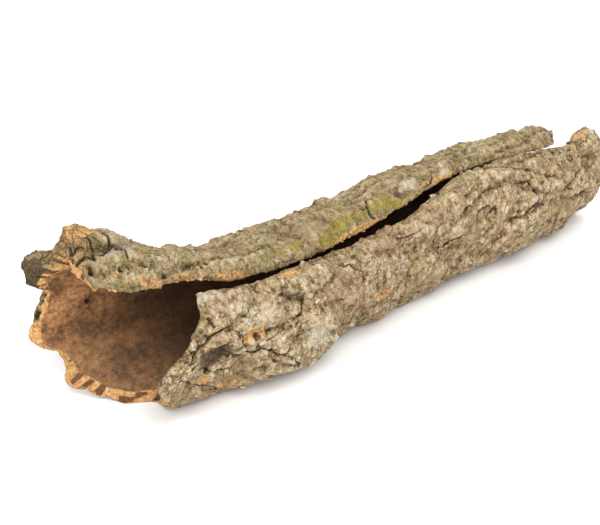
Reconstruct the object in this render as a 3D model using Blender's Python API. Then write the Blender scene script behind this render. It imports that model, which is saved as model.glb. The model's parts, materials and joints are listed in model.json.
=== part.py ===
"""Cork bark tube: one piece of virgin cork bark, curled into a tube round an open seam.

The tube lies on its side along X. Its flared, broken mouth is at the -X end, its narrower end
at +X, the seam runs along the top, and the wall on the -Y side is the near wall. Places on the
bark are given as a distance along the tube from its foremost point and an angle round it: 0 at
the bottom, positive up the far wall and negative up the near wall. The origin lies on the floor,
close under the middle of the tube.
"""

from dataclasses import dataclass

import bmesh
import bpy
import numpy as np
from mathutils import Vector, noise

MM = 0.001

# Driving dimensions, in millimetres and degrees
TUBE_LENGTH = 500.0
OUTER_STEPS = (88, 46)  # cells along and round the bark's outside
INNER_STEPS = (44, 23)  # half as many on the smooth inside
SINK = 1.6  # how far the underside is pressed flat where it rests
THINNEST = 3.5  # least thickness of the bark, at its edges
FURROW_FLOOR = 4.375  # least thickness of the bark away from its edges
EDGE_ROUNDING = 14.0  # width of the band in which the bark thins towards its edges
LIP_RADIUS = 50.0  # radius at which an angle beside a lip is counted as a distance
ORIGIN_ALONG = 267.0
ORIGIN_ACROSS = 17.7
SETTLING_ROUNDS = 3  # the lips follow the distance along, and the ends follow the angle


@dataclass(frozen=True)
class Station:
    """The hollow's section at one distance along, with a half width or height for each side."""

    along: float
    centre_y: float
    near: float
    far: float
    below: float
    above: float
    wall: float  # bark thickness before its relief


STATIONS = (
    Station(0, 31, 50, 50, 54, 62, 11),
    Station(45, 26, 46, 49, 52, 56, 11),
    Station(100, 15, 42, 45, 48, 44, 11),
    Station(160, 5, 43, 43, 45, 36, 11),
    Station(220, 1, 35, 41, 41, 38, 10),
    Station(290, 2, 33, 40, 39, 43, 9),
    Station(360, 0, 36, 41, 41, 41, 9),
    Station(430, -7, 35, 38, 39, 42, 8),
    Station(500, -4, 28, 34, 36, 35, 7),
)

# (angle, distance along at which the bark starts or ends)
MOUTH_EDGE = (
    (-150, 96), (-138, 96), (-132, 93), (-126, 89), (-120, 89), (-114, 86), (-108, 82), (-102, 79),
    (-96, 73), (-90, 67), (-84, 62), (-78, 57), (-72, 53), (-66, 52), (-60, 53), (-54, 56), (-48, 61),
    (-42, 65), (-36, 68), (-30, 70), (-22, 72), (-14, 74), (-6, 74),
    (0, 69), (6, 58), (12, 55), (18, 51), (24, 44), (30, 40), (36, 36), (42, 35), (48, 40), (54, 43),
    (60, 38), (66, 27), (72, 20), (78, 19), (84, 23), (90, 28), (96, 29), (102, 30), (108, 32),
    (114, 26), (120, 19.5), (126, 20), (133, 25), (140, 33), (147, 38), (156, 40), (163, 36), (170, 28),
    (178, 23), (190, 20), (208, 24),
)
FAR_EDGE = (
    (-165, 512), (-90, 513), (-30, 508), (20, 496), (60, 486), (90, 476), (150, 470), (180, 474),
    (200, 462),
)
# (angle, how far the inner edge of the mouth lies back from its outer edge)
MOUTH_SLANT = (
    (-150, -4), (-132, -4), (-120, -2), (-108, -1), (-96, -0.7), (-90, 0.5), (-84, 1.5), (-78, 1.5),
    (-70, 0), (-60, -1), (-50, 0), (-40, 3), (-30, 6), (-18, 8), (-6, 6), (6, 3), (18, 2), (24, 6),
    (30, 9), (36, 8), (42, 5), (50, 0), (62, 0), (68, 2.5), (75, 5.5), (84, 2.5), (98, 3), (108, 1),
    (116, 6), (124, 10.5), (132, 11), (140, 10), (150, 5), (170, 2), (208, 2),
)
# (angle, thickness left at the mouth's edge as a share of the wall)
MOUTH_RIM = (
    (-150, 0.7), (-90, 0.7), (-66, 0.9), (-50, 1), (-20, 1), (100, 1), (108, 0.97), (115, 0.88),
    (122, 0.81), (130, 0.84), (137, 0.96), (144, 1), (150, 1), (208, 0.8),
)
LIP_RIM = 0.55  # the same share at both lips
FAR_RIM = 0.7  # and at the far end
# (angle, how far the mouth's edge swells between its outer and inner border)
MOUTH_BULGE = (
    (-150, 1.5), (-70, 2), (-50, 0.5), (-35, 0.5), (92, 0.5), (104, 0.7), (114, 5), (126, 7), (136, 4),
    (146, 0.5), (160, 0.5), (208, 0.5),
)
EDGE_ROWS = (0.35, 0.7)  # shares of the way from the outer to the inner border

# (distance along, angle of the lip beside the seam)
NEAR_LIP = (
    (80, -138), (110, -138), (140, -140), (170, -144), (200, -143), (230, -141), (260, -138),
    (290, -140), (320, -149), (350, -158), (380, -159), (410, -157), (440, -155), (460, -151),
    (474, -149), (488, -157), (508, -163),
)
FAR_LIP = (
    (20, 207), (24, 206), (31, 206), (37, 210), (46, 212), (65, 210), (80, 207), (100, 205),
    (120, 212), (140, 210), (170, 208), (230, 208), (260, 207), (290, 205), (320, 200), (350, 194),
    (380, 194), (410, 198), (440, 201), (470, 200), (490, 200),
)


@dataclass(frozen=True)
class Swelling:
    """A lump of the bark, or a hollow where its height is negative."""

    along: float
    angle: float
    length: float
    spread: float  # degrees round the tube
    height: float


SWELLINGS = (
    Swelling(18, 121, 24, 15, 8),  # grey ear at the mouth's upper corner
    Swelling(20, 131, 14, 7, 7),  # the ear's upper side
    Swelling(38, 166, 30, 19, 15),  # plated lump behind the ear
    Swelling(72, -34, 22, 26, -4),  # drawn-in foot of the near wall
    Swelling(112, -62, 16, 14, -6),  # hollow behind the foot
    Swelling(88, -86, 11, 10, -4),  # sunken eye in the near wall
    Swelling(112, -100, 15, 12, 2.5),  # brow over the eye
    Swelling(142, -56, 20, 22, 5),  # two shoulders before the step in the near wall
    Swelling(180, -58, 22, 24, 5),
    Swelling(214, -60, 18, 26, -9),  # the step
    Swelling(234, -33, 10, 22, -8),
    Swelling(440, -60, 25, 26, -4),  # waist of the near wall
    Swelling(494, -152, 14, 24, 9),  # knob at the far end of the near lip
    Swelling(506, -138, 12, 16, 5),
    Swelling(140, 172, 16, 25, -6),  # dips and crests of the far wall's top
    Swelling(184, 176, 18, 25, -4),
    Swelling(228, 170, 14, 25, 4),
    Swelling(241, 157, 9, 22, 7),
    Swelling(372, 160, 16, 25, -4.5),
    Swelling(452, 168, 16, 25, 3.5),
)


@dataclass(frozen=True)
class Wave:
    """A layer of noise, drawn out along the tube where its squeeze is under 1."""

    size: float  # of one lump, across
    height: float
    seed: float
    squeeze: float = 1.0

    def at(self, place):
        x, y, z = place
        return self.height * noise_at((x * self.squeeze, y, z), self.size, self.seed)


LUMPS = (Wave(52, 3.4, 1), Wave(24, 3.4, 2), Wave(11, 1.6, 5, 0.7))
FURROWS = Wave(21, 1, 4, 0.4)  # they run where this noise is near zero
FURROW_WIDTH = 0.15  # value of the noise at which a furrow has mostly risen
FURROW_DEPTH = 3.2
INSIDE_WAVES = Wave(17, 1.4, 9, 0.3)
INSIDE_CREST = 0.6  # the inside's waves are cut off at this height
LIP_WAVES = Wave(24, 1.6, 3)  # in degrees
CHIPS = Wave(15, 1, 7)  # read along the angle
MOUTH_CHIPPING = 5.0
FAR_CHIPPING = 6.0


def smooth_curve(x, knots):
    """Cubic curve through (position, value) knots, held flat past both ends."""
    px, py = np.array(knots, float).T
    x = np.clip(x, px[0], px[-1])
    i = np.clip(np.searchsorted(px, x, side="right") - 1, 0, len(px) - 2)
    slope = np.gradient(py, px)
    width = px[i + 1] - px[i]
    s = (x - px[i]) / width
    return (
        (2 * s**3 - 3 * s**2 + 1) * py[i]
        + (s**3 - 2 * s**2 + s) * width * slope[i]
        + (3 * s**2 - 2 * s**3) * py[i + 1]
        + (s**3 - s**2) * width * slope[i + 1]
    )


def smooth_step(x):
    x = np.clip(x, 0, 1)
    return x * x * (3 - 2 * x)


def noise_at(points, size, seed):
    """Smooth noise, about -1 to 1, whose features are the given size across."""
    flat = np.stack(points, -1).reshape(-1, 3) / size
    values = [noise.noise(Vector(p) + Vector((seed, 0.5 * seed, 0))) for p in flat]
    return np.array(values).reshape(np.shape(points[0]))


def section(along):
    """The station values at each distance along."""
    names = ("centre_y", "near", "far", "below", "above", "wall")
    return {n: smooth_curve(along, [(s.along, getattr(s, n)) for s in STATIONS]) for n in names}


def sheet(steps, inside):
    """Places on the bark, as rows from mouth to far end and columns from lip to lip."""
    u, t = np.meshgrid(*(np.linspace(0, 1, n + 1) for n in steps), indexing="ij")
    along = u * TUBE_LENGTH
    for _ in range(SETTLING_ROUNDS):
        ragged = LIP_WAVES.at((along, along * 0, along * 0))
        near = smooth_curve(along, NEAR_LIP) + ragged
        far = smooth_curve(along, FAR_LIP) - ragged
        angle = near + t * (far - near)
        chips = CHIPS.at((angle, angle * 0, angle * 0))
        start = smooth_curve(angle, MOUTH_EDGE) + MOUTH_CHIPPING * chips
        end = smooth_curve(angle, FAR_EDGE) + FAR_CHIPPING * chips
        if inside:
            start += smooth_curve(angle, MOUTH_SLANT)
        along = start + u * (end - start)
    edges = {
        "mouth": along - start,
        "end": end - along,
        "near_lip": angle - near,
        "far_lip": far - angle,
    }
    return along, angle, edges


def hollow(along, angle):
    """The hollow's wall, as y, z, and the outward direction there."""
    s = section(along)
    a = np.radians(angle)
    across = np.where(np.sin(a) > 0, s["far"], s["near"])
    upright = np.where(np.cos(a) > 0, s["below"], s["above"])
    y = s["centre_y"] + across * np.sin(a)
    z = s["below"] + s["wall"] - SINK - upright * np.cos(a)
    out_y, out_z = np.sin(a) / across, -np.cos(a) / upright
    size = np.hypot(out_y, out_z)
    return y, z, out_y / size, out_z / size


def relief(place, along, angle):
    """Height of the bark's broad lumps and furrows over its mean thickness."""
    height = sum(wave.at(place) for wave in LUMPS)
    height -= FURROW_DEPTH * np.exp(-((FURROWS.at(place) / FURROW_WIDTH) ** 2))
    for s in SWELLINGS:
        away = ((along - s.along) / s.length) ** 2 + ((angle - s.angle) / s.spread) ** 2
        height += s.height * np.exp(-away)
    return height


def thinning(edges, angle):
    """Share of the bark's thickness left near each edge of the sheet."""
    degree = np.radians(LIP_RADIUS)
    bands = (
        (edges["mouth"], smooth_curve(angle, MOUTH_RIM)),
        (edges["end"], FAR_RIM),
        (edges["near_lip"] * degree, LIP_RIM),
        (edges["far_lip"] * degree, LIP_RIM),
    )
    share = 1.0
    for distance, left in bands:
        inward = np.sqrt(smooth_step(distance / EDGE_ROUNDING))
        share = share * (left + (1 - left) * inward)
    return share


def to_frame(along, y, z):
    """Metres in the part's own frame."""
    return np.stack([along - ORIGIN_ALONG, y - ORIGIN_ACROSS, z], -1) * MM


def outside(steps):
    """Grid of points on the bark's outside, flat where it rests."""
    along, angle, edges = sheet(steps, inside=False)
    y, z, out_y, out_z = hollow(along, angle)
    wall = section(along)["wall"]
    place = (along, y + wall * out_y, z + wall * out_z)
    thickness = np.maximum(wall + relief(place, along, angle), FURROW_FLOOR)
    thickness = np.maximum(thickness * thinning(edges, angle), THINNEST)
    return to_frame(along, y + thickness * out_y, np.maximum(z + thickness * out_z, 0))


def inside(steps):
    """Grid of points on the smooth inner face."""
    along, angle, _ = sheet(steps, inside=True)
    y, z, out_y, out_z = hollow(along, angle)
    wave = np.minimum(INSIDE_WAVES.at((along, y, z)), INSIDE_CREST)
    return to_frame(along, y + wave * out_y, z + wave * out_z)


def border(grid):
    """The grid's outermost vertices in order, as one closed ring."""
    ring = list(grid[0, :-1]) + list(grid[:-1, -1])
    return ring + list(grid[-1, :0:-1]) + list(grid[:0:-1, 0])


def grid_faces(mesh, points):
    """Add a grid of points and the quads between them, and give back the vertices."""
    verts = np.array([[mesh.verts.new(p) for p in row] for row in points])
    for i in range(len(verts) - 1):
        for j in range(len(verts[0]) - 1):
            mesh.faces.new((verts[i, j], verts[i + 1, j], verts[i + 1, j + 1], verts[i, j + 1]))
    return verts


def edge_rows(outer, inner):
    """Rows of points across the broken edge, from the outer border's points to the inner's."""
    along, angle, _ = sheet(OUTER_STEPS, inside=False)
    bulge = np.zeros(len(outer))
    bulge[: OUTER_STEPS[1]] = smooth_curve(angle[0, :-1], MOUTH_BULGE)
    across = inner - outer
    out = np.cross(across, np.roll(outer, -1, 0) - np.roll(outer, 1, 0))
    out *= (bulge * MM / np.linalg.norm(out, axis=1))[:, None]
    rows = [outer + share * across + 4 * share * (1 - share) * out for share in EDGE_ROWS]
    return [np.maximum(row, (-np.inf, -np.inf, 0)) for row in rows]


def bark_mesh():
    """The closed bark sheet: outside, inside and the broken edge between them."""
    mesh = bmesh.new()
    outer = border(grid_faces(mesh, outside(OUTER_STEPS)))
    inner = border(grid_faces(mesh, inside(INNER_STEPS)))
    inner_points = np.array([v.co for v in inner])
    between = (inner_points + np.roll(inner_points, -1, 0)) / 2
    inner_line = np.stack([inner_points, between], 1).reshape(-1, 3)
    for row in edge_rows(np.array([v.co for v in outer]), inner_line):
        verts = [mesh.verts.new(p) for p in row]
        for k, vert in enumerate(verts):
            mesh.faces.new((outer[k], vert, verts[(k + 1) % len(verts)], outer[(k + 1) % len(verts)]))
        outer = verts
    for k, start in enumerate(inner):
        end = inner[(k + 1) % len(inner)]
        a, b, c = (outer[(2 * k + n) % len(outer)] for n in range(3))
        mesh.faces.new((a, b, start))
        mesh.faces.new((b, end, start))
        mesh.faces.new((b, c, end))
    bmesh.ops.triangulate(mesh, faces=mesh.faces[:])
    bmesh.ops.recalc_face_normals(mesh, faces=mesh.faces[:])
    return mesh


def bark_material():
    material = bpy.data.materials.new("cork_bark")
    material.use_nodes = True
    shader = material.node_tree.nodes["Principled BSDF"]
    shader.inputs["Base Color"].default_value = (0.42, 0.34, 0.23, 1)
    shader.inputs["Roughness"].default_value = 0.92
    shader.inputs["Metallic"].default_value = 0.0
    return material


def main():
    for obj in list(bpy.data.objects):
        bpy.data.objects.remove(obj)
    data = bpy.data.meshes.new("bark_tube")
    mesh = bark_mesh()
    mesh.to_mesh(data)
    mesh.free()
    data.materials.append(bark_material())
    data.shade_smooth()
    bpy.context.scene.collection.objects.link(bpy.data.objects.new("bark_tube", data))


main()
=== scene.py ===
"""Looks of the cork bark tube: fine bark relief, broken cork edges, flakes, lichen and studio.

Places on the bark are given as in the solid it dresses: a distance along the tube from its
foremost point, in millimetres, and an angle round it in degrees, 0 at the bottom, positive up
the far wall and negative up the near wall. Objects and materials are in metres.
"""

import json
import logging
import math
from collections.abc import Iterator, Sequence
from dataclasses import dataclass, field
from enum import Enum

import bmesh
import bpy
import numpy as np
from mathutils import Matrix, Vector, noise

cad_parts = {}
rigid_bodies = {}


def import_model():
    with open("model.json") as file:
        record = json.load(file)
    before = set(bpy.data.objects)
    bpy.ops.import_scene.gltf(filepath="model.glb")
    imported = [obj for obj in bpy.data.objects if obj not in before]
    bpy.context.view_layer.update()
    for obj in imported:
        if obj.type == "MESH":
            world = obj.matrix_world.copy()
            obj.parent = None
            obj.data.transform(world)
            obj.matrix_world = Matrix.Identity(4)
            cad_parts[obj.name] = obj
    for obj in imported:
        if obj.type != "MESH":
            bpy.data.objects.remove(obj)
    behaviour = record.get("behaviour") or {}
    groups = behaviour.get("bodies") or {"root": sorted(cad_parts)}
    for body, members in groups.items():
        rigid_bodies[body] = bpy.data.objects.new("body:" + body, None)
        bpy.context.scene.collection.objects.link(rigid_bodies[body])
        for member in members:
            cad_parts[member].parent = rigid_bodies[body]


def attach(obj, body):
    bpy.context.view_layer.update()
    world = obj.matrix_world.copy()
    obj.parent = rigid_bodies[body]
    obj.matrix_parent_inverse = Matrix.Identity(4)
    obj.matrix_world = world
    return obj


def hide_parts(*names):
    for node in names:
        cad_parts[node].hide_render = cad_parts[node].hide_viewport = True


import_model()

MM = 0.001
CAD_NODE = "bark_tube"
BODY = "root"

Grid = np.ndarray
Place = tuple[Grid, Grid, Grid]
Triple = tuple[float, float, float]
Knots = Sequence[tuple[float, float]]
Socket = bpy.types.NodeSocket


class Zone(Enum):
    """Faces of the bark sheet, by the order of their material slots."""

    OUTSIDE = 0
    INSIDE = 1


class Weight(Enum):
    """What is painted on the bark's points, by the name of its attribute."""

    RELIEF_SHADE = "cavity"  # painted shade in the furrows and painted light on the crests, 0 to 1
    # painted shade in the cracks and pits, and in the dents of the broken edge
    CRACK_SHADE = "crack"
    GREEN = "green"
    PALE = "pale"
    RUST = "rust"
    # painted shade in hollows, pits, steps, beside the seam and along the lower near wall, and darker tone
    # on the grey ear and the plated lump
    DARK = "dark"
    LILAC = "lilac"
    SHADE = "shade"  # 1 on the shaded far wall
    BROKEN = "broken"  # 1 on the broken edge
    STREAK = "streak"
    ROUND = "round"  # metres along the broken edge
    THROUGH = "through"  # metres from its outer border
    DEPTH = "depth"  # painted shade, 1 deep inside the tube
    PLATED = "plated"  # 1 where the bark is cracked into small brown plates
    FLAKY = "flaky"
    CRUMBLY = "crumbly"
    TINT = "tint"  # one random value for each strewn shape


@dataclass(frozen=True)
class Station:
    """The hollow's section at one distance along, with a half width or height for each side."""

    along: float
    centre_y: float
    near: float
    far: float
    below: float
    above: float
    wall: float


@dataclass(frozen=True)
class Swelling:
    """A lump of the bark, or a hollow where its height is negative."""

    along: float
    angle: float
    length: float
    spread: float
    height: float


@dataclass(frozen=True)
class Crack:
    """A split in the bark's surface along a line of (along, angle) places."""

    line: tuple[tuple[float, float], ...]
    width: float
    depth: float


@dataclass(frozen=True)
class Pit:
    """A round hole in the bark's surface."""

    along: float
    angle: float
    radius: float
    depth: float


@dataclass(frozen=True)
class Ledge:
    """A plate's edge: the bark sinks slowly towards a line and then steps up again."""

    along: float
    angle: float
    turn: float  # degrees from the tube's length to the way the bark sinks
    reach: float
    half_width: float
    depth: float


@dataclass(frozen=True)
class Patch:
    """A coloured area of the bark, strongest at its middle."""

    along: float
    angle: float
    length: float
    spread: float
    strength: float = 1.0


@dataclass(frozen=True)
class RimMark:
    """A streak or a hole on the mouth's broken edge."""

    angle: float
    half_width: float  # degrees
    start: float  # shares of the way from the outer to the inner border
    end: float
    dent: float
    # the crack weight paints shade in a dent; the streak weight paints a streak of colour
    tint: Weight


@dataclass(frozen=True)
class Wave:
    """A layer of noise over the bark."""

    size: float  # of one lump, across
    height: float
    seed: float
    squeeze: Triple = (1, 1, 1)  # over 1, the lumps are narrower along that axis

    def at(self, place: Place) -> Grid:
        """The layer's height at each place."""
        x, y, z = (values * share for values, share in zip(place, self.squeeze))
        return self.height * noise_at((x, y, z), self.size, self.seed)

    def along(self, x: Grid) -> Grid:
        """The layer's height where it varies along one coordinate only."""
        return self.at((x, x * 0, x * 0))


@dataclass(frozen=True)
class Furrow:
    """Furrows that run where a layer of noise is near zero."""

    wave: Wave
    width: float  # value of the noise at which a furrow has mostly risen
    depth: float

    def at(self, place: Place) -> Grid:
        """The furrows' height at each place, under zero."""
        return -self.depth * np.exp(-((self.wave.at(place) / self.width) ** 2))


# Along, centre y, half widths near and far, half heights below and above, wall
STATIONS = (
    Station(0, 31, 50, 50, 54, 62, 11),
    Station(45, 26, 46, 49, 52, 56, 11),
    Station(100, 15, 42, 45, 48, 44, 11),
    Station(160, 5, 43, 43, 45, 36, 11),
    Station(220, 1, 35, 41, 41, 38, 10),
    Station(290, 2, 33, 40, 39, 43, 9),
    Station(360, 0, 36, 41, 41, 41, 9),
    Station(430, -7, 35, 38, 39, 42, 8),
    Station(500, -4, 28, 34, 36, 35, 7),
)
# (angle, distance along at which the bark starts or ends)
MOUTH_EDGE = (
    (-150, 96), (-138, 96), (-132, 93), (-126, 89), (-120, 89), (-114, 86), (-108, 82), (-102, 79),
    (-96, 73), (-90, 67), (-84, 62), (-78, 57), (-72, 53), (-66, 52), (-60, 53), (-54, 56), (-48, 61),
    (-42, 65), (-36, 68), (-30, 70), (-22, 72), (-14, 74), (-6, 74),
    (0, 69), (6, 58), (12, 55), (18, 51), (24, 44), (30, 40), (36, 36), (42, 35), (48, 40), (54, 43),
    (60, 38), (66, 27), (72, 20), (78, 19), (84, 23), (90, 28), (96, 29), (102, 30), (108, 32),
    (114, 26), (120, 19.5), (126, 20), (133, 25), (140, 33), (147, 38), (156, 40), (163, 36), (170, 28),
    (178, 23), (190, 20), (208, 24),
)
FAR_EDGE = (
    (-165, 512), (-90, 513), (-30, 508), (20, 496), (60, 486), (90, 476), (150, 470), (180, 474),
    (200, 462),
)
# (angle, how far the inner edge of the mouth lies back from its outer edge)
MOUTH_SLANT = (
    (-150, -4), (-132, -4), (-120, -2), (-108, -1), (-96, -0.7), (-90, 0.5), (-84, 1.5), (-78, 1.5),
    (-70, 0), (-60, -1), (-50, 0), (-40, 3), (-30, 6), (-18, 8), (-6, 6), (6, 3), (18, 2), (24, 6),
    (30, 9), (36, 8), (42, 5), (50, 0), (62, 0), (68, 2.5), (75, 5.5), (84, 2.5), (98, 3), (108, 1),
    (116, 6), (124, 10.5), (132, 11), (140, 10), (150, 5), (170, 2), (208, 2),
)
# (angle, thickness left at the mouth's edge as a share of the wall)
MOUTH_RIM = (
    (-150, 0.7), (-90, 0.7), (-66, 0.9), (-50, 1), (-20, 1), (100, 1), (108, 0.97), (115, 0.88),
    (122, 0.81), (130, 0.84), (137, 0.96), (144, 1), (150, 1), (208, 0.8),
)
# (angle, share of the way across the mouth's edge from which its cork is fresh)
MOUTH_FRESH = (
    (-150, 1.2), (-80, 1.2), (-66, 1.1), (-58, 0.7), (-52, 0.3), (-44, 0.1), (-34, 0), (80, 0), (85, 0.1),
    (90, 0.5), (97, 0.42), (104, 0.58), (110, 0.6), (116, 0.7), (124, 0.72), (131, 0.68), (137, 0.6),
    (144, 0.62), (152, 0.66), (160, 0.6), (168, 0.45), (178, 0.25), (190, 0.15), (200, 0.2), (208, 0.4),
)
LIP_FRESH = 0.75  # the same share at both lips
FAR_FRESH = 0.7  # and at the far end
# On the mouth's lower edge, then up its far side to the lip
RIM_MARKS = (
    RimMark(36, 1.7, 0.20, 1.00, 0.5, Weight.STREAK), RimMark(29.5, 1.8, 0.0, 0.9, 0.6, Weight.STREAK),
    RimMark(21.5, 1.9, 0.15, 1.0, 0.5, Weight.STREAK), RimMark(8, 4.2, 0.0, 0.55, 0.8, Weight.STREAK),
    RimMark(3, 1.3, 0.5, 0.9, 0.5, Weight.STREAK), RimMark(50, 1.1, 0.5, 0.95, 0.4, Weight.STREAK),
    RimMark(-4, 2.4, 0.0, 0.9, 3.5, Weight.CRACK_SHADE), RimMark(-26, 2.0, 0.2, 1.0, 2.5, Weight.CRACK_SHADE),
    RimMark(105, 3.2, 0.05, 0.55, 3.0, Weight.CRACK_SHADE), RimMark(89, 3.4, 0.05, 0.6, 3.0, Weight.CRACK_SHADE),
    RimMark(98, 1.6, 0.1, 0.5, 1.2, Weight.CRACK_SHADE), RimMark(112, 1.5, 0.5, 1.0, 1.6, Weight.STREAK),
    RimMark(118, 1.4, 0.6, 1.0, 2.0, Weight.STREAK), RimMark(125, 1.4, 0.6, 1.0, 2.2, Weight.CRACK_SHADE),
    RimMark(131, 1.3, 0.5, 1.0, 2.0, Weight.STREAK), RimMark(138, 1.5, 0.3, 1.0, 2.0, Weight.STREAK),
    RimMark(145, 1.2, 0.35, 0.9, 1.6, Weight.CRACK_SHADE), RimMark(153, 1.8, 0.2, 0.8, 1.2, Weight.STREAK),
    RimMark(184, 1.6, 0.0, 0.5, 1.2, Weight.CRACK_SHADE), RimMark(196, 1.4, 0.3, 1.0, 1.0, Weight.STREAK),
)
# (angle, how far the mouth's edge swells between its outer and inner border)
MOUTH_BULGE = (
    (-150, 1.5), (-70, 2), (-50, 0.5), (-35, 0.5), (92, 0.5), (104, 0.7), (114, 5), (126, 7), (136, 4),
    (146, 0.5), (160, 0.5), (208, 0.5),
)
# (distance along, angle of the lip beside the seam)
NEAR_LIP = (
    (80, -138), (110, -138), (140, -140), (170, -144), (200, -143), (230, -141), (260, -138),
    (290, -140), (320, -149), (350, -158), (380, -159), (410, -157), (440, -155), (460, -151),
    (474, -149), (488, -157), (508, -163),
)
FAR_LIP = (
    (20, 207), (24, 206), (31, 206), (37, 210), (46, 212), (65, 210), (80, 207), (100, 205),
    (120, 212), (140, 210), (170, 208), (230, 208), (260, 207), (290, 205), (320, 200), (350, 194),
    (380, 194), (410, 198), (440, 201), (470, 200), (490, 200),
)
SWELLINGS = (
    Swelling(18, 121, 24, 15, 8),  # grey ear at the mouth's upper corner
    Swelling(20, 131, 14, 7, 7),  # the ear's upper side
    Swelling(38, 166, 30, 19, 15),  # plated lump behind the ear
    Swelling(72, -34, 22, 26, -4),  # drawn-in foot of the near wall
    Swelling(112, -62, 16, 14, -6),  # hollow behind the foot
    Swelling(88, -86, 11, 10, -4),  # sunken eye in the near wall
    Swelling(112, -100, 15, 12, 2.5),  # brow over the eye
    Swelling(142, -56, 20, 22, 5),  # first shoulder before the step in the near wall
    Swelling(214, -60, 18, 26, -9),  # the step
    Swelling(234, -33, 10, 22, -8),  # its lower part
    Swelling(140, 172, 16, 25, -6),  # dips and crests of the far wall's top
    Swelling(228, 170, 14, 25, 4),
    Swelling(241, 157, 9, 22, 7),
    Swelling(184, 176, 18, 25, -4),
    Swelling(372, 160, 16, 25, -4.5),
    Swelling(452, 168, 16, 25, 3.5),
    Swelling(440, -60, 25, 26, -4),  # waist of the near wall
    Swelling(180, -58, 22, 24, 5),  # second shoulder
    Swelling(494, -152, 14, 24, 9),  # knob at the far end of the near lip
    Swelling(506, -138, 12, 16, 5),
)
CRACKS = (
    # down the near wall, from the mouth on
    Crack(((71, -89), (78, -97), (85, -102), (94, -105), (103, -105), (108, -97), (111, -89)), 0.9, 2.6),
    Crack(((66, -89), (75, -82), (88, -75), (103, -67), (114, -74)), 0.9, 2.2),
    Crack(((62, -74), (72, -67), (83, -60), (96, -46), (107, -31)), 0.9, 2),
    Crack(((79, -105), (74, -98), (71, -89), (68, -83)), 0.8, 1.8),
    Crack(((85, -122), (89, -115), (91, -110)), 1.1, 2.6),
    Crack(((97, -120), (103, -112), (108, -104), (112, -99)), 0.8, 1.6),
    Crack(((119, -87), (126, -81), (131, -78), (137, -74)), 1.2, 3),
    Crack(((119, -90), (127, -89), (132, -91), (141, -92), (150, -92), (161, -94)), 0.75, 1.6),
    Crack(((110, -84), (118, -80), (124, -80)), 1.3, 3),
    Crack(((137, -74), (145, -70), (153, -61), (160, -50)), 0.9, 2.2),
    Crack(((164, -118), (160, -109), (156, -100)), 1.0, 2.4),
    Crack(((170, -128), (178, -121), (183, -110), (181, -100)), 0.8, 1.4),
    Crack(((206, -129), (215, -125), (222, -117), (225, -106)), 0.8, 1.8),
    Crack(((232, -102), (241, -97), (252, -98)), 0.7, 1.4),
    Crack(((268, -126), (279, -121), (291, -124)), 0.8, 1.5),
    Crack(((306, -97), (315, -97), (326, -101)), 1.0, 2.2),
    Crack(((345, -114), (352, -118), (360, -117), (368, -109)), 1.5, 1.5),
    Crack(((386, -147), (398, -142), (409, -138), (424, -128), (439, -120)), 1.6, 1.3),
    Crack(((399, -128), (407, -124), (411, -115), (408, -106), (396, -99)), 1.8, 1.5),
    Crack(((383, -120), (389, -112), (399, -110)), 1.6, 1.1),
    Crack(((446, -108), (455, -101), (462, -90)), 0.8, 1.6),
    # from the far wall's lip
    Crack(((260, 206), (255, 200), (258, 192), (262, 186)), 1.0, 2.6),
    Crack(((186, 204), (191, 198), (188, 192)), 0.8, 1.8),
    Crack(((318, 198), (326, 196), (331, 190)), 0.9, 2.2),
    Crack(((462, 178), (465, 186), (463, 194)), 1.0, 2.2),
    # between the plates of the lump
    Crack(
        ((18, 172), (22, 181), (27, 179), (33, 178), (36, 184), (40, 188), (45, 184), (50, 182)), 1.2, 3.6,
    ),
    Crack(((36, 171), (40, 176), (38, 182)), 0.8, 2.4),
    Crack(((20, 190), (27, 188), (33, 190)), 1.2, 3),
    Crack(((33, 190), (36, 184)), 0.8, 2.2),
    Crack(((28, 166), (25, 174), (22, 181)), 0.8, 2.4),
    Crack(((50, 182), (55, 189), (53, 195)), 0.8, 2),
    Crack(((49, 171), (53, 177), (50, 182)), 0.8, 2),
)
PITS = (
    Pit(26, 196, 2.6, 6), Pit(44, 200, 1.7, 4), Pit(63, 200, 1.8, 4), Pit(74, 205, 1.8, 4),
    Pit(83, -75, 2.7, 6), Pit(87, -121, 2.4, 4), Pit(145, -76, 1.3, 3), Pit(134, -67, 1.5, 3),
    Pit(326, 194, 1.7, 4), Pit(497, -93, 2.2, 3), Pit(118, -96, 2.0, 2.5), Pit(105, 198, 1.5, 3),
)
LEDGES = (
    Ledge(162, -117, 0, 32, 9, 4.5), Ledge(96, -86, 20, 26, 9, 2), Ledge(118, -84, 200, 16, 7, 2),
    Ledge(244, -100, 10, 22, 12, 2.5), Ledge(300, -92, 190, 24, 14, 2.5),
    Ledge(356, -104, 160, 22, 10, 2.5), Ledge(222, 188, 0, 18, 10, 2), Ledge(190, 192, 180, 16, 12, 2),
    Ledge(300, 190, 10, 20, 9, 2.5), Ledge(430, 188, 180, 18, 10, 2.5), Ledge(56, 196, 270, 9, 22, 2.5),
)
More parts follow.
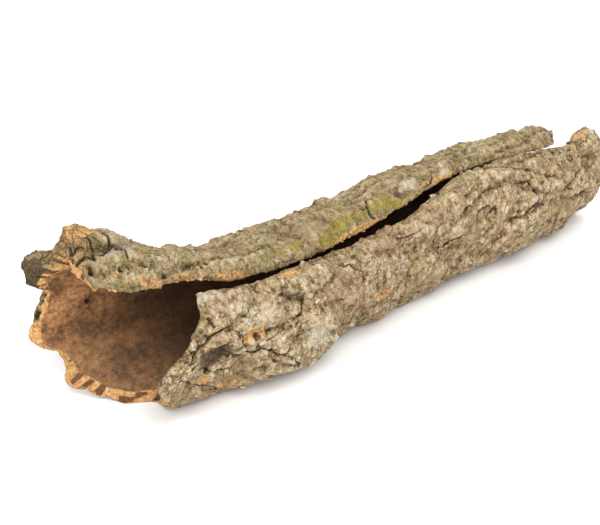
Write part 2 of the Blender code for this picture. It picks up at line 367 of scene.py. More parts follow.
# The coloured areas and the painted shade, by the weight that they paint
PAINT = {
    Weight.GREEN: (
        Patch(270, 196, 14, 6), Patch(286, 201, 12, 5, 0.9), Patch(244, 197, 12, 5, 0.85),
        Patch(224, 197, 11, 6, 0.9), Patch(212, 205, 12, 4), Patch(184, 197, 12, 6, 0.7),
        Patch(169, 197, 10, 7, 0.6), Patch(54, 193, 9, 6, 0.5), Patch(68, 191, 10, 7, 0.4),
        Patch(109, 189, 16, 9, 0.4), Patch(140, 194, 16, 8, 0.35), Patch(350, 186, 40, 10, 0.35),
        Patch(216, -121, 26, 12, 0.3), Patch(150, -112, 16, 9, 0.35), Patch(412, -92, 16, 9, 0.3),
        Patch(66, -102, 8, 12, 0.4), Patch(158, -126, 12, 9, 0.4), Patch(310, 120, 60, 30, 0.5),
        Patch(180, 110, 40, 25, 0.4), Patch(420, 100, 40, 30, 0.45),
    ),
    Weight.PALE: (
        Patch(172, -79, 13, 12), Patch(307, 190, 10, 5), Patch(343, 191, 8, 5, 0.8),
        Patch(96, -135, 10, 6, 0.8), Patch(106, -119, 9, 6, 0.7), Patch(128, -112, 16, 8, 0.7),
        Patch(236, -114, 18, 10, 0.5), Patch(262, -100, 22, 14, 0.45), Patch(200, -100, 30, 14, 0.4),
        Patch(390, -130, 40, 12, 0.35), Patch(330, -125, 20, 10, 0.35), Patch(345, 189, 14, 5, 0.35),
        Patch(36, 194, 9, 6, 0.4), Patch(78, 199, 9, 6, 0.3), Patch(60, 183, 9, 5, 0.4),
        Patch(470, -122, 18, 10, 0.5), Patch(260, 140, 30, 20, 0.6), Patch(120, 120, 22, 18, 0.5),
        Patch(380, 130, 24, 18, 0.5),
    ),
    Weight.RUST: (
        Patch(38, 167, 14, 8), Patch(30, 146, 8, 7, 0.7), Patch(104, -47, 12, 8, 0.7),
        Patch(82, -67, 6, 6, 0.8), Patch(112, -42, 9, 7, 0.7), Patch(83, -97, 4, 4, 0.7),
        Patch(241, -86, 9, 5, 0.8), Patch(118, -97, 8, 6.5), Patch(181, -87, 2.2, 2.6),
        Patch(202, -63, 3, 4, 0.7), Patch(207, -71, 2.5, 3, 0.7), Patch(120, 210, 20, 2.5, 0.9),
        Patch(92, 207, 16, 3, 0.75), Patch(60, 210, 16, 4.5, 0.7), Patch(240, 208, 26, 2.5, 0.9),
        Patch(335, 195, 24, 3), Patch(161, -139, 10, 4, 0.9), Patch(488, -150, 6, 6, 0.7),
        Patch(404, 199, 9, 3, 0.7), Patch(40, 203, 24, 4, 0.45), Patch(66, 40, 14, 20, 0.4),
    ),
    # Painted shade in the eye, pits, steps and hollows, beside the seam and along the lower near wall;
    # darker tone on the grey ear and the plated lump
    Weight.DARK: (
        Patch(88, -87, 16, 8), Patch(118, -96, 3.4, 3.2), Patch(151, -123, 14, 5, 0.55),
        Patch(18, 121, 20, 14, 1.0), Patch(150, -60, 20, 8, 0.4), Patch(212, -60, 26, 10, 0.5),
        Patch(320, -62, 80, 12, 0.35), Patch(30, 155, 8, 9, 0.4), Patch(40, 182, 10, 6, 0.45),
        Patch(72, -52, 14, 14, 0.45), Patch(94, 198, 6, 6, 0.7), Patch(150, -128, 14, 3, 0.6),
        Patch(390, -96, 14, 6, 0.35), Patch(425, -150, 26, 5, 0.6), Patch(100, 207, 40, 2, 0.5),
    ),
    Weight.PLATED: (
        Patch(30, 179, 15, 12), Patch(24, 194, 10, 5, 0.6), Patch(32, 160, 16, 14),
        Patch(26, 144, 10, 8, 0.9),
    ),
    Weight.LILAC: (
        Patch(50, 188, 12, 5, 0.9), Patch(60, 178, 12, 8, 0.5), Patch(82, -40, 18, 12, 0.6),
        Patch(345, -100, 8, 7, 0.4), Patch(270, -108, 7, 6, 0.4), Patch(80, 150, 16, 14, 0.6),
    ),
}
# (along, angle, radius) of the small holes on the inner face, whose darkness is painted shade
INNER_SPOTS = ((62, 95, 2.1), (103, 95, 1.3), (118, 66, 1.0))


def smooth_curve(x: Grid, knots: Knots) -> Grid:
    """Cubic curve through knots, held flat past both ends.

    Args:
        x: Positions to read the curve at.
        knots: (position, value) pairs in order.

    Returns:
        The curve's value at each position.
    """
    px, py = np.array(knots, float).T
    x = np.clip(x, px[0], px[-1])
    i = np.clip(np.searchsorted(px, x, side="right") - 1, 0, len(px) - 2)
    slope = np.gradient(py, px)
    width = px[i + 1] - px[i]
    s = (x - px[i]) / width
    return (
        (2 * s**3 - 3 * s**2 + 1) * py[i]
        + (s**3 - 2 * s**2 + s) * width * slope[i]
        + (3 * s**2 - 2 * s**3) * py[i + 1]
        + (s**3 - s**2) * width * slope[i + 1]
    )


def smooth_step(x: Grid) -> Grid:
    """Smooth rise from 0 to 1 as x goes from 0 to 1."""
    x = np.clip(x, 0, 1)
    return x * x * (3 - 2 * x)


def noise_at(points: Place, size: float, seed: float) -> Grid:
    """Smooth noise, about -1 to 1, whose features are the given size across.

    Args:
        points: The three coordinates of each place, in mm.
        size: Feature size in mm.
        seed: Shift that makes one noise differ from another.

    Returns:
        The noise at each place.
    """
    flat = np.stack(points, -1).reshape(-1, 3) / size
    shift = Vector((seed, 0.5 * seed, 0))
    values = [noise.noise(Vector(p) + shift) for p in flat]
    return np.array(values).reshape(np.shape(points[0]))


def blurred(values: Grid, cells: int) -> Grid:
    """A grid of values averaged over its neighbours.

    Args:
        values: Rows and columns of numbers.
        cells: Half width of the neighbourhood, in cells.

    Returns:
        The averaged grid, of the same shape.
    """
    kernel = np.hanning(2 * cells + 3)[1:-1]
    kernel /= kernel.sum()
    for axis in (0, 1):
        padded = np.pad(values, [(cells, cells) if a == axis else (0, 0) for a in (0, 1)], mode="edge")
        values = np.apply_along_axis(lambda row: np.convolve(row, kernel, mode="valid"), axis, padded)
    return values


def border(grid: Grid) -> Grid:
    """A grid's outermost entries in order, as one closed ring."""
    return np.concatenate([grid[0, :-1], grid[:-1, -1], grid[-1, :0:-1], grid[:0:-1, 0]])


def grid_quads(index: Grid) -> list[tuple[int, ...]]:
    """The quads between neighbouring entries of a grid of vertex numbers."""
    corners = (index[:-1, :-1], index[1:, :-1], index[1:, 1:], index[:-1, 1:])
    return [tuple(q) for q in np.stack(corners, -1).reshape(-1, 4).tolist()]


@dataclass(frozen=True)
class BarkForm:
    """The bark's main form, the same as its solid's: a curled sheet with broken edges, in mm."""

    length: float = 500.0
    sink: float = 1.6  # how far the underside is pressed flat where it rests
    furrow_floor: float = 4.375  # least thickness away from the edges
    edge_rounding: float = 14.0  # width of the band in which the bark thins towards its edges
    far_rim: float = 0.7  # share of the thickness left at the far end
    lip_rim: float = 0.55  # and at both lips
    origin_along: float = 267.0
    origin_across: float = 17.7
    settling_rounds: int = 3  # the lips follow the distance along, and the ends follow the angle
    crowding: float = 0.25  # how much closer the rows lie at the mouth
    mean_radius: float = 50.0
    lumps: tuple[Wave, ...] = (Wave(52, 3.4, 1), Wave(24, 3.4, 2), Wave(11, 1.6, 5, (0.7, 1, 1)))
    furrows: Furrow = Furrow(Wave(21, 1, 4, (0.4, 1, 1)), 0.15, 3.2)
    lip_waves: Wave = Wave(24, 1.6, 3)  # in degrees, as the lips' tears are
    lip_tears: tuple[Wave, ...] = (Wave(7, 1.6, 13), Wave(3, 1.1, 14))
    far_tearing: float = 0.8  # size of the far lip's tears against the near lip's
    chips: Wave = Wave(15, 1, 7)  # read along the angle, as the splits are
    mouth_chipping: float = 5.0
    far_chipping: float = 6.0
    splits: tuple[Wave, ...] = (Wave(5, 1.1, 17), Wave(2.2, 0.7, 18))

    def arc(self, angle: Grid) -> Grid:
        """Distance round the tube, in mm, of an angle in degrees."""
        return np.radians(angle) * self.mean_radius

    def section(self, along: Grid) -> dict[str, Grid]:
        """The station values at each distance along."""
        names = ("centre_y", "near", "far", "below", "above", "wall")
        return {n: smooth_curve(along, [(s.along, getattr(s, n)) for s in STATIONS]) for n in names}

    def sheet(self, steps: tuple[int, int], inside: bool) -> tuple[Grid, Grid, dict[str, Grid]]:
        """Places on the bark, as rows from mouth to far end and columns from lip to lip.

        Args:
            steps: Cells along and round.
            inside: Whether the inner edge of the slanted mouth is meant.

        Returns:
            The distance along, the angle, and the distance to each of the four edges.
        """
        u, t = np.meshgrid(*(np.linspace(0, 1, n + 1) for n in steps), indexing="ij")
        u = (1 - self.crowding) * u + self.crowding * u * u
        along = u * self.length
        for _ in range(self.settling_rounds):
            ragged = self.lip_waves.along(along)
            torn = sum(tear.along(along) for tear in self.lip_tears)
            near = smooth_curve(along, NEAR_LIP) + ragged + torn
            far = smooth_curve(along, FAR_LIP) - ragged - self.far_tearing * torn[::-1]
            angle = near + t * (far - near)
            chipped = self.chips.along(angle)
            split = sum(wave.along(angle) for wave in self.splits)
            start = smooth_curve(angle, MOUTH_EDGE) + self.mouth_chipping * chipped + split
            end = smooth_curve(angle, FAR_EDGE) + self.far_chipping * chipped - split
            if inside:
                start += smooth_curve(angle, MOUTH_SLANT)
            along = start + u * (end - start)
        ends = {"mouth": along - start, "end": end - along}
        return along, angle, {**ends, "near_lip": angle - near, "far_lip": far - angle}

    def hollow(self, along: Grid, angle: Grid) -> tuple[Grid, Grid, Grid, Grid]:
        """The hollow's wall.

        Args:
            along: Distances along the tube.
            angle: Angles round it.

        Returns:
            y and z of the wall, and y and z of the outward direction there.
        """
        s = self.section(along)
        a = np.radians(angle)
        across = np.where(np.sin(a) > 0, s["far"], s["near"])
        upright = np.where(np.cos(a) > 0, s["below"], s["above"])
        y = s["centre_y"] + across * np.sin(a)
        z = s["below"] + s["wall"] - self.sink - upright * np.cos(a)
        out_y, out_z = np.sin(a) / across, -np.cos(a) / upright
        size = np.hypot(out_y, out_z)
        return y, z, out_y / size, out_z / size

    def inner_place(self, along: float, angle: float) -> Triple:
        """The point of the inner face at a distance along and an angle, in metres."""
        y, z, _, _ = self.hollow(np.float64(along), np.float64(angle))
        return tuple(float(v) for v in self.to_frame(np.float64(along), y, z))

    def relief(self, place: Place, along: Grid, angle: Grid) -> Grid:
        """The bark's broad lumps and furrows.

        Args:
            place: Coordinates of each place in mm.
            along: Distances along the tube.
            angle: Angles round it.

        Returns:
            Their height over the bark's mean thickness.
        """
        height = sum(wave.at(place) for wave in self.lumps)
        height += self.furrows.at(place)
        for s in SWELLINGS:
            away = ((along - s.along) / s.length) ** 2 + ((angle - s.angle) / s.spread) ** 2
            height += s.height * np.exp(-away)
        return height

    def thinning(self, edges: dict[str, Grid], angle: Grid) -> Grid:
        """How the bark thins towards the edges of the sheet.

        Args:
            edges: The distance to each edge.
            angle: Angles round the tube.

        Returns:
            The share of the thickness that is left.
        """
        degree = self.arc(np.float64(1))
        bands = (
            (edges["mouth"], smooth_curve(angle, MOUTH_RIM)),
            (edges["end"], self.far_rim),
            (edges["near_lip"] * degree, self.lip_rim),
            (edges["far_lip"] * degree, self.lip_rim),
        )
        share = np.ones_like(angle)
        for distance, left in bands:
            inward = np.sqrt(smooth_step(distance / self.edge_rounding))
            share = share * (left + (1 - left) * inward)
        return share

    def to_frame(self, along: Grid, y: Grid, z: Grid) -> Grid:
        """Points in metres in the part's own frame."""
        return np.stack([along - self.origin_along, y - self.origin_across, z], -1) * MM


@dataclass(frozen=True)
class FineRelief:
    """The bark's plates, furrows, wrinkles, cracks and pits, over its main form, in mm."""

    form: BarkForm
    seed: int = 41
    loose_ledges: int = 70
    loose_pits: int = 110
    strewn_along: tuple[float, float] = (30, 490)
    strewn_round: tuple[float, float] = (-150, 200)
    bend: Wave = Wave(20, 5, 31)  # pushes the creases and plates about
    drawn_out: float = 0.75
    sideways: float = 0.6
    creases: tuple[Furrow, ...] = (Furrow(Wave(17, 1, 12), 0.07, 0.9), Furrow(Wave(8, 1, 19), 0.12, 0.8))
    plates: Wave = Wave(24, 3.2, 21)  # a plate ends where this passes a whole number
    plate_height: float = 0.9
    plate_flat: float = 0.80  # share of a plate before its edge rises
    plate_edge: float = 0.20
    wrinkles: Wave = Wave(5, 0.75, 16, (1.5, 0.4, 0.4))
    grooves: Wave = Wave(5, 1, 37, (1.9, 0.3, 0.3))  # run across the far wall
    groove_depth: float = 0.9
    grooves_along: float = 165.0
    grooves_reach: float = 60.0
    grooves_from: float = 5.0  # y at which they begin
    grooves_rise: float = 20.0
    grains: tuple[Wave, ...] = (Wave(6, 0.45, 15), Wave(3.4, 0.6, 22))
    shakes: tuple[Wave, Wave] = (Wave(8, 1.8, 33), Wave(8, 1.8, 34))  # make marks uneven
    full_shade_crack: float = 2.0  # depth of a crack whose painted shade is full to its bottom
    # and of a pit whose painted shade is full
    full_shade_pit: float = 3.5
    pit_rim: float = 1.25  # where a pit starts to sink, in radii
    pit_slope: float = 0.7  # width of its slope, in radii
    step_start: float = 1.6
    step_width: float = 2.2

    def strewn(self) -> tuple[list[Ledge], list[Pit]]:
        """Plate edges and pits in places drawn at random over the whole bark.

        Returns:
            The plate edges and the pits.
        """
        draw = np.random.default_rng(self.seed)
        ledges = [
            Ledge(
                draw.uniform(*self.strewn_along), draw.uniform(*self.strewn_round), draw.uniform(0, 360),
                reach=draw.uniform(9, 22), half_width=draw.uniform(5, 12), depth=draw.uniform(0.9, 2.2),
            )
            for _ in range(self.loose_ledges)
        ]
        pits = [
            Pit(
                draw.uniform(*self.strewn_along), draw.uniform(*self.strewn_round),
                radius=draw.uniform(0.9, 2), depth=draw.uniform(1, 2.8),
            )
            for _ in range(self.loose_pits)
        ]
        return ledges, pits

    def texture(self, place: Place) -> Grid:
        """The creases, plates, knobs and wrinkles that cover the bark all over.

        Args:
            place: Coordinates of each place in mm.

        Returns:
            Their height.
        """
        x, y, z = place
        bend = self.bend.at(place)
        bent = (x * self.drawn_out + bend, y + self.sideways * bend, z - self.sideways * bend)
        height = sum(crease.at(bent) for crease in self.creases)
        level = self.plates.at(bent)
        risen = smooth_step((level % 1 - self.plate_flat) / self.plate_edge)
        height += self.plate_height * (np.floor(level) + risen - level)
        height += self.wrinkles.at(place)
        grooved = np.exp(-(((x - self.grooves_along) / self.grooves_reach) ** 2))
        grooved = grooved * smooth_step((y - self.grooves_from) / self.grooves_rise)
        height += self.groove_depth * grooved * self.grooves.at(place)
        return height + sum(grain.at(place) for grain in self.grains)

    def marks(self, place: Place, along: Grid, angle: Grid) -> tuple[Grid, Grid]:
        """Cracks, pits and plate edges.

        Args:
            place: Coordinates of each place in mm.
            along: Distances along the tube.
            angle: Angles round it.

        Returns:
            Their height, and the painted shade that the cracks and pits lay in their hollows, 0 to 1.
        """
        u, v = (line + shake.at(place) for line, shake in zip((along, self.form.arc(angle)), self.shakes))
        height = np.zeros_like(along)
        # painted shade that the cracks and pits lay in their hollows
        dark = np.zeros_like(along)
        for drop, shade in self.drops(u, v):
            height -= drop
            dark = np.maximum(dark, shade)
        return height, dark

    def drops(self, u: Grid, v: Grid) -> Iterator[tuple[Grid, Grid]]:
        """Each mark in turn.

        Args:
            u: Distances along the tube.
            v: Distances round it.

        Yields:
            How deep the mark makes each place, and how much painted shade it lays there.
        """
        for crack in CRACKS:
            depth = np.exp(-((self.away(crack.line, u, v) / crack.width) ** 2))
            yield crack.depth * depth, depth * min(1, crack.depth / self.full_shade_crack)
        ledges, pits = self.strewn()
        for pit in PITS + tuple(pits):
            distance = np.hypot(u - pit.along, v - self.form.arc(pit.angle))
            depth = smooth_step((pit.radius * self.pit_rim - distance) / (pit.radius * self.pit_slope))
            yield pit.depth * depth, depth * min(1, pit.depth / self.full_shade_pit)
        for ledge in LEDGES + tuple(ledges):
            turn = math.radians(ledge.turn)
            du, dv = u - ledge.along, v - self.form.arc(ledge.angle)
            forward = du * math.cos(turn) + dv * math.sin(turn)
            aside = (dv * math.cos(turn) - du * math.sin(turn)) / ledge.half_width
            sunk = smooth_step(1 + forward / ledge.reach)
            sunk = sunk * smooth_step((self.step_start - forward) / self.step_width)
            yield ledge.depth * sunk * np.exp(-(aside**2)), np.zeros_like(u)

    def away(self, line: Knots, u: Grid, v: Grid) -> Grid:
        """How far each place lies from a line.

        Args:
            line: (along, angle) places in order.
            u: Distances along the tube.
            v: Distances round it.

        Returns:
            The distance to the line's nearest stretch.
        """
        distance = np.full_like(u, np.inf)
        for (a0, g0), (a1, g1) in zip(line, line[1:]):
            start = np.array([a0, self.form.arc(g0)])
            step = np.array([a1, self.form.arc(g1)]) - start
            share = ((u - start[0]) * step[0] + (v - start[1]) * step[1]) / (step @ step)
            share = np.clip(share, 0, 1)
            gap = np.hypot(u - start[0] - share * step[0], v - start[1] - share * step[1])
            distance = np.minimum(distance, gap)
        return distance


@dataclass(frozen=True)
class BarkSurface:
    """Points and painted weights of the fine bark. Lengths are in mm unless they say metres."""

    form: BarkForm
    relief: FineRelief
    steps: tuple[int, int] = (330, 204)  # cells along and round
    least: float = 2.2  # bark left under the deepest crack
    fine_growth: float = 1.2  # how fast the fine relief grows inwards, against the thickness
    near_cells: int = 3  # neighbourhoods over which a crest is measured
    broad_cells: int = 9
    near_painted_light: float = 0.16  # painted light on the crests and painted shade in the furrows, for 1 mm of height over each neighbourhood
    broad_painted_light: float = 0.045
    shade_from: float = -20.0  # degrees
    shade_rise: float = 60.0
    patch_falloff: float = 0.7
    fresh_lap: float = 1.5  # how far fresh cork laps over the outer border
    fresh_limit: float = 0.15  # share across the edge under which its outer border is fresh
    mouth_band: float = 12.0  # beside which the mouth's own shares hold
    shade_after: float = 95.0  # from the mouth, the distance over which the painted shade inside grows to full
    shade_fade_reach: float = 70.0  # from the far end, the distance over which that painted shade fades out
    inner_waves: Wave = Wave(17, 1.4, 9, (0.3, 1, 1))
    inner_crest: float = 0.6
    inner_ripples: tuple[Wave, ...] = (Wave(5, 0.3, 35, (0.12, 1, 1)), Wave(6, 0.25, 36))
    flake_free: float = 3.0  # from the edges
    flake_start: float = 0.4
    lowest_flake: float = 0.007  # metres above the floor

    def outside(self) -> tuple[Grid, dict[Weight, Grid]]:
        """The bark's outer face.

        Returns:
            A grid of points, and a grid of weights for each kind of colouring.
        """
        along, angle, edges = self.form.sheet(self.steps, inside=False)
        y, z, out_y, out_z = self.form.hollow(along, angle)
        wall = self.form.section(along)["wall"]
        place = (along, y + wall * out_y, z + wall * out_z)
        marks, crack_shade = self.relief.marks(place, along, angle)
        fine = self.relief.texture(place) + marks
        broad = self.form.relief(place, along, angle)
        thickness = np.maximum(wall + broad, self.form.furrow_floor)
        share = self.form.thinning(edges, angle)
        thickness = thickness * share + fine * np.minimum(1, share * self.fine_growth)
        thickness = np.maximum(thickness, self.least)
        points = self.form.to_frame(along, y + thickness * out_y, np.maximum(z + thickness * out_z, 0))
        edge = np.minimum(edges["near_lip"], edges["far_lip"]) * self.form.arc(np.float64(1))
        edge = np.minimum(edge, np.minimum(edges["mouth"], edges["end"]))
        flaky = smooth_step(edge / self.flake_free - self.flake_start)
        weights = {kind: self.painted(patches, along, angle) for kind, patches in PAINT.items()}
        weights |= {
            # painted shade in the furrows and painted light on the crests
            Weight.RELIEF_SHADE: self.painted_relief_shade(thickness),
            Weight.CRACK_SHADE: crack_shade,
            Weight.SHADE: smooth_step((angle - self.shade_from) / self.shade_rise),
            Weight.BROKEN: self.fresh_border(angle, edges) * np.exp(-edge / self.fresh_lap),
            Weight.FLAKY: flaky * (points[..., 2] > self.lowest_flake),
        }
        return points, weights

    def painted_relief_shade(self, thickness: Grid) -> Grid:
        """Painted shade and light from how high the bark stands over its surroundings.

        Args:
            thickness: The bark's thickness.

        Returns:
            0 in the furrows and 1 on the crests, as painted shade and painted light.
        """
        near = thickness - blurred(thickness, self.near_cells)
        broad = thickness - blurred(thickness, self.broad_cells)
        return np.clip(0.5 + self.near_painted_light * near + self.broad_painted_light * broad, 0, 1)

    def painted(self, patches: Sequence[Patch], along: Grid, angle: Grid) -> Grid:
        """One kind of colouring.

        Args:
            patches: Its patches.
            along: Distances along the tube.
            angle: Angles round it.

        Returns:
            The strongest of the patches' weights at each place.
        """
        weight = np.zeros_like(along)
        for p in patches:
            away = ((along - p.along) / p.length) ** 2 + ((angle - p.angle) / p.spread) ** 2
            weight = np.maximum(weight, p.strength * np.exp(-self.patch_falloff * away))
        return weight

    def fresh_border(self, angle: Grid, edges: dict[str, Grid]) -> Grid:
        """1 where fresh cork reaches the outer border of the edge beside each place."""
        start = np.where(edges["mouth"] < self.mouth_band, smooth_curve(angle, MOUTH_FRESH), LIP_FRESH)
        return smooth_step(1 - start / self.fresh_limit)

    def inside(self) -> tuple[Grid, dict[Weight, Grid]]:
        """The smooth inner face.

        Returns:
            A grid of points, and the painted shade that grows with how deep in the tube each one is.
        """
        along, angle, edges = self.form.sheet(self.steps, inside=True)
        y, z, out_y, out_z = self.form.hollow(along, angle)
        wave = np.minimum(self.inner_waves.at((along, y, z)), self.inner_crest)
        wave += sum(ripple.at((along, y, z)) for ripple in self.inner_ripples)
        deep_shade = smooth_step(edges["mouth"] / self.shade_after) * smooth_step(edges["end"] / self.shade_fade_reach)
        return self.form.to_frame(along, y + wave * out_y, z + wave * out_z), {Weight.DEPTH: deep_shade}


class Graph:
    """Adds nodes to one node tree and joins their sockets."""

    def __init__(self, tree: bpy.types.NodeTree) -> None:
        """Start with a tree's nodes removed."""
        self.tree = tree
        tree.nodes.clear()

    def add(self, kind: str, settings: dict | None = None, **inputs: object) -> bpy.types.Node:
        """Add a node.

        Args:
            kind: The node's type name.
            settings: Values of the node's own properties.
            inputs: A value or a socket for each named input, with _ for a space.

        Returns:
            The new node.
        """
        node = self.tree.nodes.new(kind)
        for name, value in (settings or {}).items():
            setattr(node, name, value)
        for name, value in inputs.items():
            self.put(node.inputs[name.replace("_", " ")], value)
        return node

    def put(self, socket: Socket, value: object) -> None:
        """Join a socket to another, or give it a constant.

        Args:
            socket: The input to fill.
            value: A socket or a constant.
        """
        if isinstance(value, Socket):
            self.tree.links.new(value, socket)
        else:
            socket.default_value = value

    def fill(self, node: bpy.types.Node, *values: object) -> Socket:
        """Fill a node's first inputs in order.

        Args:
            node: The node.
            values: A value or a socket for each input.

        Returns:
            The node's first output.
        """
        for socket, value in zip(node.inputs, values):
            self.put(socket, value)
        return node.outputs[0]

    def sum(self, operation: str, a: object, b: object = 0.0) -> Socket:
        """One step of arithmetic on numbers."""
        return self.fill(self.add("ShaderNodeMath", {"operation": operation}), a, b)

    def spread(self, value: object, low: float, high: float) -> Socket:
        """A smooth rise from 0 to 1 as a value goes from low to high."""
        settings = {"interpolation_type": "SMOOTHSTEP"}
        return self.add("ShaderNodeMapRange", settings, Value=value, From_Min=low, From_Max=high).outputs[0]

    def mix(self, share: object, a: object, b: object, blend: str = "MIX") -> Socket:
        """A blend of two colours.

        Args:
            share: How much of the second colour there is.
            a: The first colour.
            b: The second colour.
            blend: The way in which they blend.

        Returns:
            The blended colour.
        """
        node = self.add("ShaderNodeMix", {"data_type": "RGBA", "blend_type": blend})
        for socket, value in zip((node.inputs[0], node.inputs[6], node.inputs[7]), (share, a, b)):
            self.put(socket, (*value, 1) if isinstance(value, tuple) else value)
        return node.outputs[2]

    def lay(self, colour: object, tint: object, share: object, strength: float) -> Socket:
        """A colour with a tint laid over it where a share is high."""
        return self.mix(self.sum("MULTIPLY", share, strength), colour, tint)

    def ramp(self, value: object, stops: Sequence[tuple[float, Triple]]) -> Socket:
        """A colour read from a row of stops.

        Args:
            value: Where to read it.
            stops: (position, colour) pairs in order.

        Returns:
            The colour.
        """
        node = self.add("ShaderNodeValToRGB", Fac=value)
        elements = node.color_ramp.elements
        while len(elements) < len(stops):
            elements.new(0.5)
        for element, (position, colour) in zip(elements, stops):
            element.position = position
            element.color = (*colour, 1)
        return node.outputs["Color"]

    def noise(self, where: object, size: float, detail: float = 4, rough: float = 0.6) -> Socket:
        """Cloudy noise, 0 to 1, whose largest features are the given size in mm."""
        sizes = {"Scale": 1 / (size * MM), "Detail": detail, "Roughness": rough}
        return self.add("ShaderNodeTexNoise", Vector=where, **sizes).outputs["Fac"]

    def cells(self, where: object, size: float, feature: str = "F1") -> Socket:
        """Distance in a pattern of cells of the given size in mm."""
        node = self.add("ShaderNodeTexVoronoi", {"feature": feature}, Vector=where, Scale=1 / (size * MM))
        return node.outputs["Distance"]

    def place(self) -> Socket:
        """The piece's own object coordinates."""
        return self.add("ShaderNodeTexCoord").outputs["Object"]

    def stretched(self, where: object, scale: Triple) -> Socket:
        """Coordinates scaled differently along each axis."""
        return self.add("ShaderNodeMapping", Vector=where, Scale=scale).outputs["Vector"]

    def warped(self, where: object, size: float, amount: float) -> Socket:
        """Coordinates pushed about by cloudy noise.

        Args:
            where: The coordinates.
            size: Size of the noise's features in mm.
            amount: How far they are pushed, in mm.

        Returns:
            The pushed coordinates.
        """
        cloud = self.add("ShaderNodeTexNoise", Vector=where, Scale=1 / (size * MM), Detail=2.0)
        subtract = self.add("ShaderNodeVectorMath", {"operation": "SUBTRACT"})
        centred = self.fill(subtract, cloud.outputs["Color"], (0.5, 0.5, 0.5))
        move = self.add("ShaderNodeVectorMath", {"operation": "MULTIPLY_ADD"})
        return self.fill(move, centred, (2 * amount * MM,) * 3, where)

    def spot(self, where: object, centre: Triple, radius: float) -> Socket:
        """A round spot.

        Args:
            where: The coordinates.
            centre: Its centre in metres.
            radius: Its radius in mm.

        Returns:
            1 within the spot, fading to 0 outside.
        """
        rim, core = 1.25, 0.6  # in radii, where the fading ends and starts
        away = self.add("ShaderNodeVectorMath", {"operation": "DISTANCE"})
        self.fill(away, where, centre)
        return self.spread(away.outputs["Value"], rim * radius * MM, core * radius * MM)

    def weight(self, kind: Weight) -> Socket:
        """A painted weight of the mesh."""
        return self.add("ShaderNodeAttribute", {"attribute_name": kind.value}).outputs["Fac"]

    def bumps(self, height: object, depth: float) -> Socket:
        """A normal bent by a height whose full range is the given depth in mm."""
        return self.add("ShaderNodeBump", Height=height, Distance=depth * MM, Strength=1.0).outputs["Normal"]

    def shade(self, colour: object, roughness: object, normal: object, specular: float) -> None:
        """End the tree in a Principled shader.

        Args:
            colour: The base colour.
            roughness: The roughness.
            normal: The bent normal.
            specular: The strength of the sheen, 0 to 1.
        """
        shader = self.add("ShaderNodeBsdfPrincipled", Base_Color=colour, Roughness=roughness, Normal=normal)
        shader.inputs["Specular IOR Level"].default_value = specular
        self.add("ShaderNodeOutputMaterial", Surface=shader.outputs["BSDF"])


@dataclass(frozen=True)
class Cloud:
    """Cloudy noise that says where a tint lies."""

    size: float  # mm
    detail: float
    rough: float
    start: float  # value of the noise at which the tint starts
    full: float
    strength: float

    def lay(self, g: Graph, where: Socket, colour: Socket, tint: object) -> Socket:
        """A colour with the tint laid over it."""
        share = g.spread(g.noise(where, self.size, self.detail, self.rough), self.start, self.full)
        return g.lay(colour, tint, share, self.strength)


@dataclass(frozen=True)
class Finish:
    """A finish that a piece of the bark can have."""

    name: str

    def material(self) -> bpy.types.Material:
        """Make the material and its node tree.

        Returns:
            The material.
        """
        made = bpy.data.materials.new(self.name)
        made.use_nodes = True
        self.draw(Graph(made.node_tree))
        return made

    def draw(self, g: Graph) -> None:
        """Lay out the finish's nodes."""
        raise NotImplementedError


